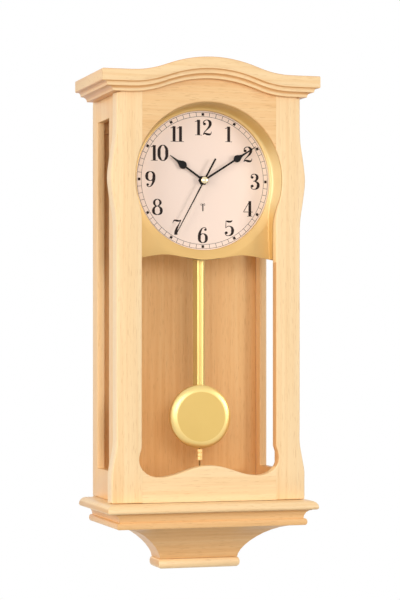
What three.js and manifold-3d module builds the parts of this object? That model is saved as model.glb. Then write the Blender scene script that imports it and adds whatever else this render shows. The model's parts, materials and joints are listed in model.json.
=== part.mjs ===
// Radio-controlled wall clock with a pendulum, in a wooden case.
// Millimetres. +Z up, the front faces -Y, and the wall is the plane Y = 0.
// Heights are built up from the foot at Z = 0 and lowered to the hanging face at the end.
import * as THREE from 'three';
import Module from 'manifold-3d';

const wasm = await Module();
wasm.setup();

// Gaps between neighbouring pieces
const GLUE_LINE = 0.3;
const RUNNING_GAP = 0.3;
const PRESS_GAP = 0.05;
const FRAME_LIFT = 0.6;
const OVERCUT = 1;

// Front frame and its opening
const OPENING_RADIUS = 92.8;
const OPENING_NECK = 8.3;
const STILE_WIDTH = 31;
const FRAME_THICKNESS = 14;
const FRAME_SHOULDER = 14.5;
const TOP_RAIL_HEIGHT = 23;
const LOBE_BOTTOM = 31;
const LOBE_CENTRE = 63;
const LOBE_SWELL = 3.5;
const LOBE_SIDE = 52;
const LOBE_START = 68;
const CREST_RISE = 13;
const BLEND_SINE = 0.28;
const BLEND_REACH = 10.2;
const QUARTER_PULL = 0.56;
const WAVE_PULL = 0.4;

// Outer edge of a stile: [outward from the straight edge, distance from the dial centre or the foot]
const BULGE_LINE = [[0, 66.7], [0.8, 47.6], [4.1, 26.1], [7, 0]];
const FLARE_LINE = [[6.2, 25.2], [6, 36], [2.8, 53], [0, 70], [0, 87.5]];

// Case box
const CASE_DEPTH = 123.7;
const FRAME_REVEAL = 4.5;
const SIDE_THICKNESS = 9;
const SLOT_REAR_MARGIN = 24.6;
const SLOT_DEPTH = 56.8;
const SLOT_BOTTOM = 36;
const SLOT_TOP_MARGIN = 12.2;
const BACK_RECESS = 4;
const BACK_THICKNESS = 5;
const BACK_WINDOW_WIDTH = 110;
const BACK_WINDOW_HEIGHT = 90;
const RAIL_HEIGHT = 52;
const RAIL_THICKNESS = 15;
const TOP_THICKNESS = 9.5;
const DIAL_HEIGHT = 390.2;

// Keyhole hanger let into the hanging rail
const HANGER_WIDTH = 70;
const HANGER_HEIGHT = 23;
const HANGER_THICKNESS = 1.6;
const HANGER_DROP = 14;
const HANGER_SINK = 3.2;
const KEYHOLE_RADIUS = 5;
const KEYHOLE_SLOT = 2.2;
const KEYHOLE_RISE = 7;
const NAIL_POCKET_WIDTH = 20;
const NAIL_POCKET_DEPTH = 9;
const SCREW_SPACING = 56;
const SCREW_SHANK = 1.5;
const SCREW_HEAD = 3.2;
const SCREW_HEAD_TOP = 2.2;
const SCREW_HEAD_HEIGHT = 1.3;
const SCREW_LENGTH = 9;

// Crown moulding, [outward, upward] from its top inner edge
const CROWN_REACH = 26;
const CROWN_FASCIA = 14.5;
const CROWN_EDGE = 1;
const CROWN_UPPER_COVE = [[22, -14.5], [19, -19.6]];
const CROWN_LOWER_COVE = [[16.8, -19.8], [11, -25.6]];
const CROWN_FRONT_RATIO = 0.49;
const CROWN_OVER_RAIL = 11.4;
const CROWN_RISE = 18.6;
const ARCH_HALF_SPAN = 100;
const ARCH_TURN = 0.58;
const ARCH_STEPS = 12;
const RETURN_STOP = 14.5;

// Base board, its nose as [set back from the widest line, height above the underside]
const BOARD_OVERHANG = 21.5;
const BOARD_FRONT_OVERHANG = 22;
const BOARD_NOSE = [0, 2.8];
const BOARD_UNDER_EDGE = [2.6, 0];
const BOARD_TOP_EDGE = [8.4, 10.7];

// Base moulding, [outward, upward] from its lower inner edge
const BASE_BEAD = [19.6, 4];
const BASE_BEAD_EDGE = 17.2;
const BASE_COVE = [[15.4, 8.2], [25.2, 18.6]];
const BASE_MOULDING_INSET = 11;
const BASE_MOULDING_RATIO = 0.6;
const BASE_MOULDING_SET_BACK = 3.4;

// Console under the base, [outward, upward] from its lower outer edge
const CONSOLE_TOP = [61, 42];
const CONSOLE_LOW_PULL = 12.8;
const CONSOLE_TOP_PULL = 30.7;
const CONSOLE_BACK = [[45, 42], [21, 30], [3, 15], [-9, 0]];
const CONSOLE_RATIO = 0.9;
const CONSOLE_SIDE_LAP = 10.4;
const CONSOLE_FRONT_LAP = 6.2;
const NECK_DEPTH = 39.8;
const FOOT_BEAD = [2.6, 5.8];
const FOOT_UNDER_EDGE = [-1.9, 0];
const FOOT_TOP_EDGE = [0, 11.7];

// Bezel plate and dial
const BEZEL_RECESS = 9;
const BEZEL_THICKNESS = 1.5;
const BEZEL_LEDGE = 7.9;
const BEZEL_DROP = 97;
const BEZEL_WAVE = 6;
const BEZEL_CREST = 52;
const BEZEL_TROUGH_MARGIN = 12.2;
const COLLAR_WALL = 1.2;
const BATTEN_WIDTH = 4.7;
const BATTEN_MARGIN = 6;
const DIAL_RECESS = 6;
const DIAL_THICKNESS = 2;
const DIAL_LAP = 5;

// Movement
const MOVEMENT_HALF_WIDTH = 28;
const MOVEMENT_TOP = 28;
const MOVEMENT_BOTTOM = 30;
const MOVEMENT_DEPTH = 15.2;
const MOVEMENT_WALL = 1.5;
const COVER_THICKNESS = 1.5;
const COVER_BOTTOM = 12;
const BUSH_WALL = 1.3;
const BUSH_STAND = 1.5;
const NUT_RADIUS = 6;
const NUT_THICKNESS = 1.2;
const CELL_RADIUS = 7.2;
const CELL_EDGE = 0.6;
const CELL_LENGTH = 48;
const CELL_NUB_RADIUS = 2.7;
const CELL_NUB_LENGTH = 1.4;
const CONTACT_THICKNESS = 0.5;
const CONTACT_HEIGHT = 11;
const BOARD_THICKNESS = 1.2;
const BOARD_SET_BACK = 2.4;
const BUTTON_RADIUS = 2.4;
const BUTTON_FLANGE = 3.4;
const BUTTON_FLANGE_THICKNESS = 1;
const BUTTON_STAND = 2.2;
const BUTTON_EDGE = 0.4;
const BUTTON_SPACING = 28;
const BUTTON_RISE = 11;
const MOTOR_RADIUS = 2.8;
const MOTOR_NECK = 2.2;
const MOTOR_LENGTH = 10;
const MOTOR_LIP = 1;
const MOTOR_CENTRE = 19.5;
const MOTOR_RISE = 21;
const ANTENNA_RADIUS = 4;
const ANTENNA_LENGTH = 54;
const ANTENNA_COIL_WALL = 1.8;
const ANTENNA_COIL_LENGTH = 22;

// Wheels of the motion work
const FIRST_MODULE = 0.6;
const CANNON_TEETH = 12;
const MOTION_TEETH = 36;
const MOTION_PINION_TEETH = 10;
const HOUR_TEETH = 40;
const TOOTH_ROOT = 1.15;
const TOOTH_TIP = 0.85;
const TOOTH_FOOT_SHARE = 0.29;
const TOOTH_TIP_SHARE = 0.1;
const WHEEL_THICKNESS = 1.3;
const WHEEL_STEP = 0.6;
const STUD_RADIUS = 1.2;
const SECOND_WHEEL_RADIUS = 7;
const ARBOR_RADIUS = 0.6;
const TUBE_WALL = 0.8;

// Hands
const HAND_THICKNESS = 0.8;
const HAND_STEP = 1;
const HOUR_LENGTH = 51.5;
const HOUR_DROP = 32;
const HOUR_DROP_RADIUS = 4.8;
const MINUTE_LENGTH = 79;
const MINUTE_DROP = 50.6;
const MINUTE_DROP_RADIUS = 4.4;
const STEM_HALF_WIDTH = 1.1;
const STEM_ROOT = 1.2;
const STEM_TIP = 0.4;
const POINT_HALF_WIDTH = 0.85;
const SECOND_TIP = 0.28;

// Swelling of a pear hand, in drop radii: [half width, distance past the widest point]
const PEAR_NECK_RATIO = -1.08;
const PEAR_SWELL_RATIOS = [[0.58, -0.86], [0.9, -0.45], [1, 0.02], [0.85, 0.55], [0.52, 1.12]];
const PEAR_POINT_RATIO = 2;
const HOUR_HUB = 5;
const MINUTE_HUB = 4.6;
const SECOND_LENGTH = 75;
const SECOND_TAIL = 30;
const SECOND_HALF_WIDTH = 0.55;
const TAIL_HALF_WIDTH = 1.05;
const SECOND_HUB = 3.2;
const CAP_RADIUS = 4.3;
const CAP_HEIGHT = 2;
const HOUR_ANGLE = 304.8;
const MINUTE_ANGLE = 57.4;
const SECOND_ANGLE = 208.5;

// Pendulum and its suspension
const BRACKET_HALF_WIDTH = 17;
const BRACKET_HEIGHT = 40;
const BRACKET_WALL = 1.5;
const BRACKET_DEPTH = 18.7;
const PIVOT_DROP = 7;
const PIVOT_RADIUS = 1;
const ARM_THICKNESS = 2;
const ARM_HALF_WIDTH = 3;
const ARM_EYE = 4;
const ARM_LENGTH = 46;
const MAGNET_DROP = 25;
const MAGNET_RADIUS = 4;
const MAGNET_THICKNESS = 1.5;
const COIL_RADIUS = 6.5;
const COIL_BORE = 2.5;
const COIL_THICKNESS = 4;
const ROD_HALF_WIDTH = 7.6;
const ROD_FRONT_HALF = 3.7;
const ROD_DEPTH = 6;
const ROD_EDGE = 0.8;
const ROD_CROWN = 0.6;
const ROD_SET_BACK = 5;
const ROD_LAP = 9;
const BOB_DROP = 251.2;
const BOB_RADIUS = 38.8;
const BOB_FACE = 30;
const BOB_FRONT_SWELL = 6.5;
const BOB_RIM = 2.4;
const BOB_BACK_THICKNESS = 2;
const BOB_BACK_INSET = 4;
const RATING_STUD_RADIUS = 1;
const RATING_STUD_LENGTH = 21.5;
const RATING_NUT_DROP = 0.6;
const RATING_NUT_RADIUS = 4;
const RATING_NUT_LENGTH = 14;

// Smoothness of round pieces
const WIDE_ROUND = 64;
const ROUND = 24;
const SMALL_ROUND = 16;
const QUARTER_STEPS = 4;
const HUB_STEPS = 10;
const PEAR_STEPS = 18;

// Round stretches of a profile

// Quarter turn as [sine, one minus cosine] shares.
const quarter = Array.from({ length: QUARTER_STEPS + 1 }, (unused, i) => {
  const angle = Math.PI / 2 * i / QUARTER_STEPS;
  return [Math.sin(angle), 1 - Math.cos(angle)];
});

// Quarter ellipse that leaves its first point level and meets its last point upright.
const levelFirst = ([x0, y0], [x1, y1]) => quarter.map(([level, rise]) => (
  [x0 + (x1 - x0) * level, y0 + (y1 - y0) * rise]
));

// Quarter ellipse that leaves its first point upright and meets its last point level.
const uprightFirst = ([x0, y0], [x1, y1]) => quarter.map(([rise, level]) => (
  [x0 + (x1 - x0) * level, y0 + (y1 - y0) * rise]
));

function bezier(from, first, second, to, steps) {
  const [a, b, c, d] = [from, first, second, to].map(([x, y]) => new THREE.Vector2(x, y));
  return new THREE.CubicBezierCurve(a, b, c, d).getPoints(steps).map(({ x, y }) => [x, y]);
}

// Mouldings in section

const crownSection = [
  [0, 0], [CROWN_REACH - CROWN_EDGE, 0], [CROWN_REACH, -CROWN_EDGE],
  [CROWN_REACH, CROWN_EDGE - CROWN_FASCIA], [CROWN_REACH - CROWN_EDGE, -CROWN_FASCIA],
  ...levelFirst(...CROWN_UPPER_COVE),
  ...levelFirst(...CROWN_LOWER_COVE),
  [0, CROWN_LOWER_COVE[1][1]],
];

const boardNose = [
  ...levelFirst(BOARD_UNDER_EDGE, BOARD_NOSE),
  ...uprightFirst(BOARD_NOSE, BOARD_TOP_EDGE).slice(1),
];

const baseSection = [
  [0, 0],
  ...levelFirst([BASE_BEAD_EDGE, 0], BASE_BEAD),
  ...uprightFirst(BASE_BEAD, [BASE_BEAD_EDGE, 2 * BASE_BEAD[1]]).slice(1),
  ...uprightFirst(...BASE_COVE),
  [0, BASE_COVE[1][1]],
];

const consoleSection = [
  ...bezier(
    [0, 0], [0, CONSOLE_LOW_PULL], [CONSOLE_TOP[0] - CONSOLE_TOP_PULL, CONSOLE_TOP[1]], CONSOLE_TOP, 10,
  ),
  ...CONSOLE_BACK,
];

const footBead = [
  ...levelFirst(FOOT_UNDER_EDGE, FOOT_BEAD),
  ...uprightFirst(FOOT_BEAD, FOOT_TOP_EDGE).slice(1),
];

// Heights that follow from the sizes above
const footTop = FOOT_TOP_EDGE[1];
const consoleBottom = footTop + GLUE_LINE;
const baseMouldingBottom = consoleBottom + CONSOLE_TOP[1] + GLUE_LINE;
const boardBottom = baseMouldingBottom + BASE_COVE[1][1] + GLUE_LINE;
const floorTop = boardBottom + BOARD_TOP_EDGE[1];
const dialZ = floorTop + DIAL_HEIGHT;
const frameBottom = floorTop + FRAME_LIFT;
const frameTop = dialZ + OPENING_RADIUS + TOP_RAIL_HEIGHT;
const sideBottom = floorTop + GLUE_LINE;
const sideTop = frameTop - GLUE_LINE;
const railTop = sideTop - GLUE_LINE;
const railBottom = railTop - RAIL_HEIGHT;
const crownTop = frameTop + CROWN_OVER_RAIL;
const hangerZ = railBottom + HANGER_DROP + KEYHOLE_RISE / 2;
const originZ = railTop - KEYHOLE_RISE;

// Widths and depths that follow
const openingHalf = OPENING_RADIUS - OPENING_NECK;
const frameHalf = openingHalf + STILE_WIDTH;
const caseHalf = frameHalf - FRAME_REVEAL;
const innerHalf = caseHalf - SIDE_THICKNESS;
const fittedHalf = innerHalf - GLUE_LINE;
const frameRear = -CASE_DEPTH - GLUE_LINE;
const frameFront = frameRear - FRAME_THICKNESS;
const bezelFront = frameRear + BEZEL_RECESS;
const bezelRear = bezelFront + BEZEL_THICKNESS;
const dialFront = bezelFront + DIAL_RECESS;
const dialRear = dialFront + DIAL_THICKNESS;
const holeRadius = OPENING_RADIUS - BEZEL_LEDGE;
const movementFront = dialRear + GLUE_LINE;
const movementRear = movementFront + MOVEMENT_DEPTH;
const coverRear = movementRear + GLUE_LINE + COVER_THICKNESS;

// Coaxial shafts, from the thin second arbor out to the bush
const minuteBore = ARBOR_RADIUS + RUNNING_GAP;
const minuteTube = minuteBore + TUBE_WALL;
const hourBore = minuteTube + RUNNING_GAP;
const hourTube = hourBore + TUBE_WALL;
const bushBore = hourTube + RUNNING_GAP;
const bushRadius = bushBore + BUSH_WALL;
const bushFront = dialFront - BUSH_STAND;
const hourHandRear = bushFront - HAND_STEP;
const minuteHandRear = hourHandRear - HAND_THICKNESS - HAND_STEP;
const secondHandRear = minuteHandRear - HAND_THICKNESS - HAND_STEP;
const secondHandFront = secondHandRear - HAND_THICKNESS;
const wheelDistance = FIRST_MODULE * (CANNON_TEETH + MOTION_TEETH) / 2;
const secondModule = 2 * wheelDistance / (MOTION_PINION_TEETH + HOUR_TEETH);
const hourWheelFront = movementFront + MOVEMENT_WALL + WHEEL_STEP;
const motionWheelFront = hourWheelFront + WHEEL_THICKNESS + WHEEL_STEP;
const secondWheelFront = motionWheelFront + WHEEL_THICKNESS + WHEEL_STEP;
const boardRear = movementRear - BOARD_SET_BACK;

// Pendulum levels
const bracketTop = dialZ - MOVEMENT_BOTTOM - GLUE_LINE;
const pivotZ = bracketTop - PIVOT_DROP;
const bobZ = pivotZ - BOB_DROP;
const bracketFront = movementFront + BRACKET_WALL;
const bracketRear = bracketFront + BRACKET_DEPTH;
const rodRear = bracketFront + BRACKET_WALL + RUNNING_GAP + ROD_SET_BACK + ROD_DEPTH;
const rodAxisY = rodRear - ROD_DEPTH / 2;
const armFront = rodRear + GLUE_LINE;
const armRear = armFront + ARM_THICKNESS;
const rodTop = pivotZ - ARM_LENGTH + ROD_LAP;

// Materials
function paint(color, roughness, metalness) {
  return new THREE.MeshStandardMaterial({ color, roughness, metalness });
}
const paleWood = paint(0xe9c188, 0.5, 0);
const veneer = paint(0xc58f57, 0.55, 0);
const satinGold = paint(0xd2ac4e, 0.35, 1);
const brass = paint(0xd8b455, 0.25, 1);
const dialWhite = paint(0xf3e2d6, 0.6, 0);
const handBlack = paint(0x15120f, 0.4, 0);
const steel = paint(0xb4b6b8, 0.35, 1);
const darkPlastic = paint(0x2a2a2c, 0.6, 0);
const palePlastic = paint(0xd9d8d2, 0.5, 0);
const redPlastic = paint(0xb33a2c, 0.45, 0);
const circuitGreen = paint(0x2f6b42, 0.5, 0);
const copper = paint(0xb56a3a, 0.4, 1);
const ferrite = paint(0x3b3a39, 0.7, 0);
const cellGrey = paint(0x6f7780, 0.4, 0.6);

// Solids

// Welds a geometry's corners by position and drops collapsed triangles.
function weld(geometry) {
  const flat = geometry.index ? geometry.toNonIndexed() : geometry;
  const position = flat.attributes.position;
  const seen = new Map();
  const points = [];
  const corners = [];
  for (let i = 0; i < position.count; i += 1) {
    const at = [position.getX(i), position.getY(i), position.getZ(i)];
    const key = at.map((value) => Math.round(value * 1e4)).join(' ');
    if (!seen.has(key)) {
      seen.set(key, points.length / 3);
      points.push(...at);
    }
    corners.push(seen.get(key));
  }
  const triangles = [];
  for (let i = 0; i < corners.length; i += 3) {
    const [a, b, c] = corners.slice(i, i + 3);
    if (a !== b && b !== c && c !== a) triangles.push(a, b, c);
  }
  return { points, triangles };
}

// Six times the signed volume, positive when the triangles face out.
function signedVolume({ points, triangles }) {
  let sum = 0;
  const corner = (index) => new THREE.Vector3().fromArray(points, index * 3);
  for (let i = 0; i < triangles.length; i += 3) {
    const [a, b, c] = [0, 1, 2].map((step) => corner(triangles[i + step]));
    sum += a.dot(b.cross(c));
  }
  return sum;
}

function solid(geometry) {
  const shell = weld(geometry);
  if (signedVolume(shell) < 0) shell.triangles.reverse();
  return new wasm.Manifold(new wasm.Mesh({
    numProp: 3,
    vertProperties: new Float32Array(shell.points),
    triVerts: new Uint32Array(shell.triangles),
  }));
}

function surface(body) {
  const mesh = body.getMesh();
  const geometry = new THREE.BufferGeometry();
  geometry.setAttribute('position', new THREE.BufferAttribute(new Float32Array(mesh.vertProperties), 3));
  geometry.setIndex(Array.from(mesh.triVerts));
  return geometry;
}

const join = (...bodies) => bodies.reduce((sum, next) => sum.add(next));
const cut = (body, ...tools) => tools.reduce((left, tool) => left.subtract(tool), body);

// Box between two corners.
function block(low, high) {
  const size = high.map((value, axis) => value - low[axis]);
  const middle = high.map((value, axis) => (value + low[axis]) / 2);
  return solid(new THREE.BoxGeometry(...size).translate(...middle));
}

function shapeOf(points, holes = []) {
  const shape = new THREE.Shape(points.map(([x, y]) => new THREE.Vector2(x, y)));
  holes.forEach((hole) => shape.holes.push(new THREE.Path(hole.map(([x, y]) => new THREE.Vector2(x, y)))));
  return shape;
}

const rectangle = (x0, y0, x1, y1) => [[x0, y0], [x1, y0], [x1, y1], [x0, y1]];

function circle(radius, steps, x = 0, y = 0) {
  return Array.from({ length: steps }, (unused, i) => {
    const angle = 2 * Math.PI * i / steps;
    return [x + radius * Math.cos(angle), y + radius * Math.sin(angle)];
  });
}

function extruded(points, holes, depth) {
  return new THREE.ExtrudeGeometry(shapeOf(points, holes), { depth, bevelEnabled: false });
}

// Plate drawn as seen from the front, [x, z], between two depths.
function frontPlate(points, front, rear, holes = []) {
  return solid(extruded(points, holes, rear - front).rotateX(Math.PI / 2).translate(0, rear, 0));
}

// Plate drawn as seen from the right, [y, z], between two widths.
function sidePlate(points, left, right, holes = []) {
  const turn = new THREE.Matrix4().set(0, 0, 1, left, 1, 0, 0, 0, 0, 1, 0, 0, 0, 0, 0, 1);
  return solid(extruded(points, holes, right - left).applyMatrix4(turn));
}

// Bar drawn as seen from above, [x, y], between two heights.
function uprightBar(points, bottom, top) {
  return solid(extruded(points, [], top - bottom).translate(0, 0, bottom));
}

// Round piece on an axis along Y: profile of [radius, depth].
function turned(profile, steps, x, z) {
  const points = profile.map(([radius, depth]) => new THREE.Vector2(radius, depth));
  return solid(new THREE.LatheGeometry(points, steps).translate(x, 0, z));
}

const pin = (radius, front, rear) => [[0, front], [radius, front], [radius, rear], [0, rear]];
const ring = (bore, radius, front, rear) => [
  [bore, front], [radius, front], [radius, rear], [bore, rear], [bore, front],
];

// Round piece on an axis along Z: profile of [radius, height].
function turnedUpright(profile, steps, x, y) {
  const points = profile.map(([radius, height]) => new THREE.Vector2(radius, height));
  return solid(new THREE.LatheGeometry(points, steps).rotateX(Math.PI / 2).translate(x, y, 0));
}

// Round piece on an axis along X: profile of [radius, across].
function turnedAcross(profile, steps, y, z) {
  const points = profile.map(([radius, across]) => new THREE.Vector2(radius, across));
  return solid(new THREE.LatheGeometry(points, steps).rotateZ(-Math.PI / 2).translate(0, y, z));
}

// Skin over a row of equal closed rings, capped at both ends.
function loft(rings, outline) {
  const count = outline.length;
  const positions = rings.flat(2);
  const index = [];
  for (let level = 0; level + 1 < rings.length; level += 1) {
    for (let i = 0; i < count; i += 1) {
      const a = level * count + i;
      const b = level * count + (i + 1) % count;
      index.push(a, b, b + count, a, b + count, a + count);
    }
  }
  const flat = outline.map(([x, y]) => new THREE.Vector2(x, y));
  const last = (rings.length - 1) * count;
  THREE.ShapeUtils.triangulateShape(flat, []).forEach(([a, b, c]) => {
    const turnsLeft = !THREE.ShapeUtils.isClockWise(flat);
    index.push(...(turnsLeft ? [a, c, b] : [a, b, c]));
    index.push(...(turnsLeft ? [a, b, c] : [a, c, b]).map((corner) => corner + last));
  });
  const geometry = new THREE.BufferGeometry();
  geometry.setAttribute('position', new THREE.Float32BufferAttribute(positions, 3));
  geometry.setIndex(index);
  return solid(geometry);
}

// Moulding of one profile carried along stations {x, y, z, outX, outY}.
function moulding(profile, stations) {
  const rings = stations.map(({ x, y, z, outX, outY }) => profile.map(
    ([out, up]) => [x + out * outX, y + out * outY, z + up],
  ));
  return loft(rings, profile);
}

// Block of stacked rectangles {half, front, z} with one shared rear plane.
function tieredBlock(levels, rear) {
  const rings = levels.map(({ half, front, z }) => [
    [-half, rear, z], [half, rear, z], [half, front, z], [-half, front, z],
  ]);
  return loft(rings, [[0, 1], [1, 1], [1, 0], [0, 0]]);
}

// Points of a smooth line through the given points.
function smooth(points, steps) {
  const curve = new THREE.SplineCurve(points.map(([x, y]) => new THREE.Vector2(x, y)));
  return curve.getPoints(steps).map(({ x, y }) => [x, y]);
}

const mirrored = (points) => points.map(([x, y]) => [-x, y]).reverse();

// Front frame

// Right half of the opening, from the top of the circle down to the middle of the bottom rail.
function openingHalfOutline() {
  const blendAngle = Math.asin(BLEND_SINE);
  const arcSteps = 22;
  const line = [];
  for (let i = 0; i <= arcSteps; i += 1) {
    const angle = Math.PI / 2 - (Math.PI / 2 + blendAngle) * i / arcSteps;
    line.push([OPENING_RADIUS * Math.cos(angle), dialZ + OPENING_RADIUS * Math.sin(angle)]);
  }
  const [arcX, arcZ] = line.at(-1);
  const easedZ = arcZ - 3 * BLEND_REACH;
  line.push(...bezier(
    [arcX, arcZ],
    [arcX - BLEND_REACH * Math.sin(blendAngle), arcZ - BLEND_REACH * Math.cos(blendAngle)],
    [openingHalf, easedZ + BLEND_REACH],
    [openingHalf, easedZ],
    6,
  ).slice(1));
  const lobeZ = floorTop + LOBE_BOTTOM;
  const sideX = openingHalf + LOBE_SWELL;
  const sideZ = floorTop + LOBE_SIDE;
  const startZ = floorTop + LOBE_START;
  line.push(...bezier(
    [openingHalf, startZ],
    [openingHalf, startZ - LOBE_SWELL],
    [sideX, sideZ + 2 * LOBE_SWELL],
    [sideX, sideZ],
    5,
  ));
  line.push(...bezier(
    [sideX, sideZ],
    [sideX, sideZ - (sideZ - lobeZ) * QUARTER_PULL],
    [LOBE_CENTRE + (sideX - LOBE_CENTRE) * QUARTER_PULL, lobeZ],
    [LOBE_CENTRE, lobeZ],
    7,
  ).slice(1));
  line.push(...bezier(
    [LOBE_CENTRE, lobeZ],
    [LOBE_CENTRE * (1 - WAVE_PULL), lobeZ],
    [LOBE_CENTRE * WAVE_PULL, lobeZ + CREST_RISE],
    [0, lobeZ + CREST_RISE],
    9,
  ).slice(1));
  return line;
}

function openingCutter() {
  const half = openingHalfOutline();
  const outline = [...half, ...mirrored(half).slice(1, -1)];
  return frontPlate(outline, frameFront - OVERCUT, frameRear + OVERCUT);
}

// Outer edge of the right stile, bottom to top: bottom flare, straight, and the bulge beside the dial.
function stileEdge() {
  const shoulderZ = frameTop - FRAME_SHOULDER;
  const below = BULGE_LINE.map(([out, along]) => [frameHalf + out, dialZ - along]);
  const above = BULGE_LINE.map(([out, along]) => [frameHalf + out, dialZ + along]).reverse();
  const bulge = smooth([...below, ...above.slice(1)], 22);
  const flare = smooth(FLARE_LINE.map(([out, up]) => [frameHalf + out, frameBottom + up]), 10);
  return [
    [frameHalf + FLARE_LINE[0][0], frameBottom], ...flare, ...bulge,
    [frameHalf, shoulderZ], [caseHalf, shoulderZ], [caseHalf, frameTop],
  ];
}

function stile(side) {
  const inner = openingHalf + GLUE_LINE / 2;
  const right = [[inner, frameBottom], ...stileEdge(), [inner, frameTop]];
  const outline = side > 0 ? right : mirrored(right);
  return cut(frontPlate(outline, frameFront, frameRear), openingCutter());
}

// The top rail rises behind the arch of the crown.
function topRail() {
  const half = openingHalf - GLUE_LINE / 2;
  const outline = [[-half, dialZ], [half, dialZ]];
  for (let i = ARCH_STEPS; i >= -ARCH_STEPS; i -= 1) {
    const x = half * i / ARCH_STEPS;
    outline.push([x, frameTop + archRise(x)]);
  }
  return cut(frontPlate(outline, frameFront, frameRear), openingCutter());
}

function bottomRail() {
  const half = openingHalf - GLUE_LINE / 2;
  const top = floorTop + LOBE_SIDE;
  return cut(block([-half, frameFront, frameBottom], [half, frameRear, top]), openingCutter());
}

// Case box

function sidePanel(side) {
  const inner = side * innerHalf;
  const outer = side * caseHalf;
  const slotRear = -SLOT_REAR_MARGIN;
  const slotFront = slotRear - SLOT_DEPTH;
  const slot = rectangle(slotFront, floorTop + SLOT_BOTTOM, slotRear, railBottom + SLOT_TOP_MARGIN);
  const outline = rectangle(-CASE_DEPTH, sideBottom, 0, sideTop);
  return sidePlate(outline, Math.min(inner, outer), Math.max(inner, outer), [slot]);
}

function backPanel() {
  const half = BACK_WINDOW_WIDTH / 2;
  const window = rectangle(-half, dialZ - BACK_WINDOW_HEIGHT / 2, half, dialZ + BACK_WINDOW_HEIGHT / 2);
  const outline = rectangle(-fittedHalf, sideBottom, fittedHalf, railBottom - GLUE_LINE);
  return frontPlate(outline, -BACK_RECESS - BACK_THICKNESS, -BACK_RECESS, [window]);
}

function hangingRail() {
  const halfWidth = HANGER_WIDTH / 2 + GLUE_LINE;
  const halfHeight = HANGER_HEIGHT / 2 + GLUE_LINE;
  const body = block([-fittedHalf, -RAIL_THICKNESS, railBottom], [fittedHalf, 0, railTop]);
  const pocket = block(
    [-halfWidth, -HANGER_SINK - GLUE_LINE, hangerZ - halfHeight],
    [halfWidth, OVERCUT, hangerZ + halfHeight],
  );
  const nailHalf = NAIL_POCKET_WIDTH / 2;
  const nailPocket = block(
    [-nailHalf, -NAIL_POCKET_DEPTH, hangerZ - nailHalf],
    [nailHalf, OVERCUT, hangerZ + nailHalf],
  );
  const holeEnd = -HANGER_SINK - SCREW_LENGTH - GLUE_LINE;
  const holes = [-1, 1].map((side) => turned(
    pin(SCREW_SHANK + PRESS_GAP, holeEnd, 0), SMALL_ROUND, side * SCREW_SPACING / 2, hangerZ,
  ));
  return cut(body, pocket, nailPocket, ...holes);
}

function hangerPlate() {
  const halfWidth = HANGER_WIDTH / 2;
  const halfHeight = HANGER_HEIGHT / 2;
  const front = -HANGER_SINK;
  const rear = front + HANGER_THICKNESS;
  const lowZ = hangerZ - KEYHOLE_RISE / 2;
  const through = (radius) => pin(radius, front - OVERCUT, rear + OVERCUT);
  const outline = rectangle(-halfWidth, hangerZ - halfHeight, halfWidth, hangerZ + halfHeight);
  const plate = frontPlate(outline, front, rear);
  const head = turned(through(KEYHOLE_RADIUS), ROUND, 0, lowZ);
  const slotEnd = turned(through(KEYHOLE_SLOT), SMALL_ROUND, 0, lowZ + KEYHOLE_RISE);
  const slot = block(
    [-KEYHOLE_SLOT, front - OVERCUT, lowZ],
    [KEYHOLE_SLOT, rear + OVERCUT, lowZ + KEYHOLE_RISE],
  );
  const holes = [-1, 1].map((side) => turned(
    through(SCREW_SHANK + PRESS_GAP), SMALL_ROUND, side * SCREW_SPACING / 2, hangerZ,
  ));
  return cut(plate, head, slotEnd, slot, ...holes);
}

function hangerScrew(side) {
  const seat = -HANGER_SINK + HANGER_THICKNESS + PRESS_GAP;
  const point = -HANGER_SINK - SCREW_LENGTH;
  const profile = [
    [0, point], [SCREW_SHANK, point + SCREW_SHANK], [SCREW_SHANK, seat], [SCREW_HEAD, seat],
    [SCREW_HEAD_TOP, seat + SCREW_HEAD_HEIGHT], [0, seat + SCREW_HEAD_HEIGHT],
  ];
  return turned(profile, SMALL_ROUND, side * SCREW_SPACING / 2, hangerZ);
}

function topBoard() {
  const bottom = sideTop + GLUE_LINE;
  return block([-caseHalf, -CASE_DEPTH, bottom], [caseHalf, 0, bottom + TOP_THICKNESS]);
}

// Crown

const crownInnerX = caseHalf + GLUE_LINE;
const crownInnerY = frameFront - GLUE_LINE;

// Height of the ogee arch above its flat ends.
function archRise(x) {
  const share = Math.min(Math.abs(x) / ARCH_HALF_SPAN, 1);
  const drop = share < ARCH_TURN ? share ** 2 / ARCH_TURN : 1 - (1 - share) ** 2 / (1 - ARCH_TURN);
  return CROWN_RISE * (1 - drop);
}

function crownFront() {
  const stations = [{ x: -crownInnerX, outX: -1, rise: 0 }];
  for (let i = -ARCH_STEPS; i <= ARCH_STEPS; i += 1) {
    const x = ARCH_HALF_SPAN * i / ARCH_STEPS;
    stations.push({ x, outX: 0, rise: archRise(x) });
  }
  stations.push({ x: crownInnerX, outX: 1, rise: 0 });
  return moulding(crownSection, stations.map(({ x, outX, rise }) => (
    { x, y: crownInnerY, z: crownTop + rise, outX, outY: -CROWN_FRONT_RATIO }
  )));
}

// Side return of a moulding, from its mitre back to its square end.
function sideReturn(profile, side, { innerX, innerY, z, ratio, stop }) {
  const mitreY = innerY + GLUE_LINE;
  return moulding(profile, [
    { x: side * innerX, y: mitreY, z, outX: side, outY: -ratio },
    { x: side * innerX, y: -stop, z, outX: side, outY: 0 },
  ]);
}

const crownReturn = (side) => sideReturn(crownSection, side, {
  innerX: crownInnerX,
  innerY: crownInnerY,
  z: crownTop,
  ratio: CROWN_FRONT_RATIO,
  stop: RETURN_STOP,
});

// Base

const boardHalf = caseHalf + BOARD_OVERHANG;
const boardFront = frameFront - BOARD_FRONT_OVERHANG;

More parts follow.
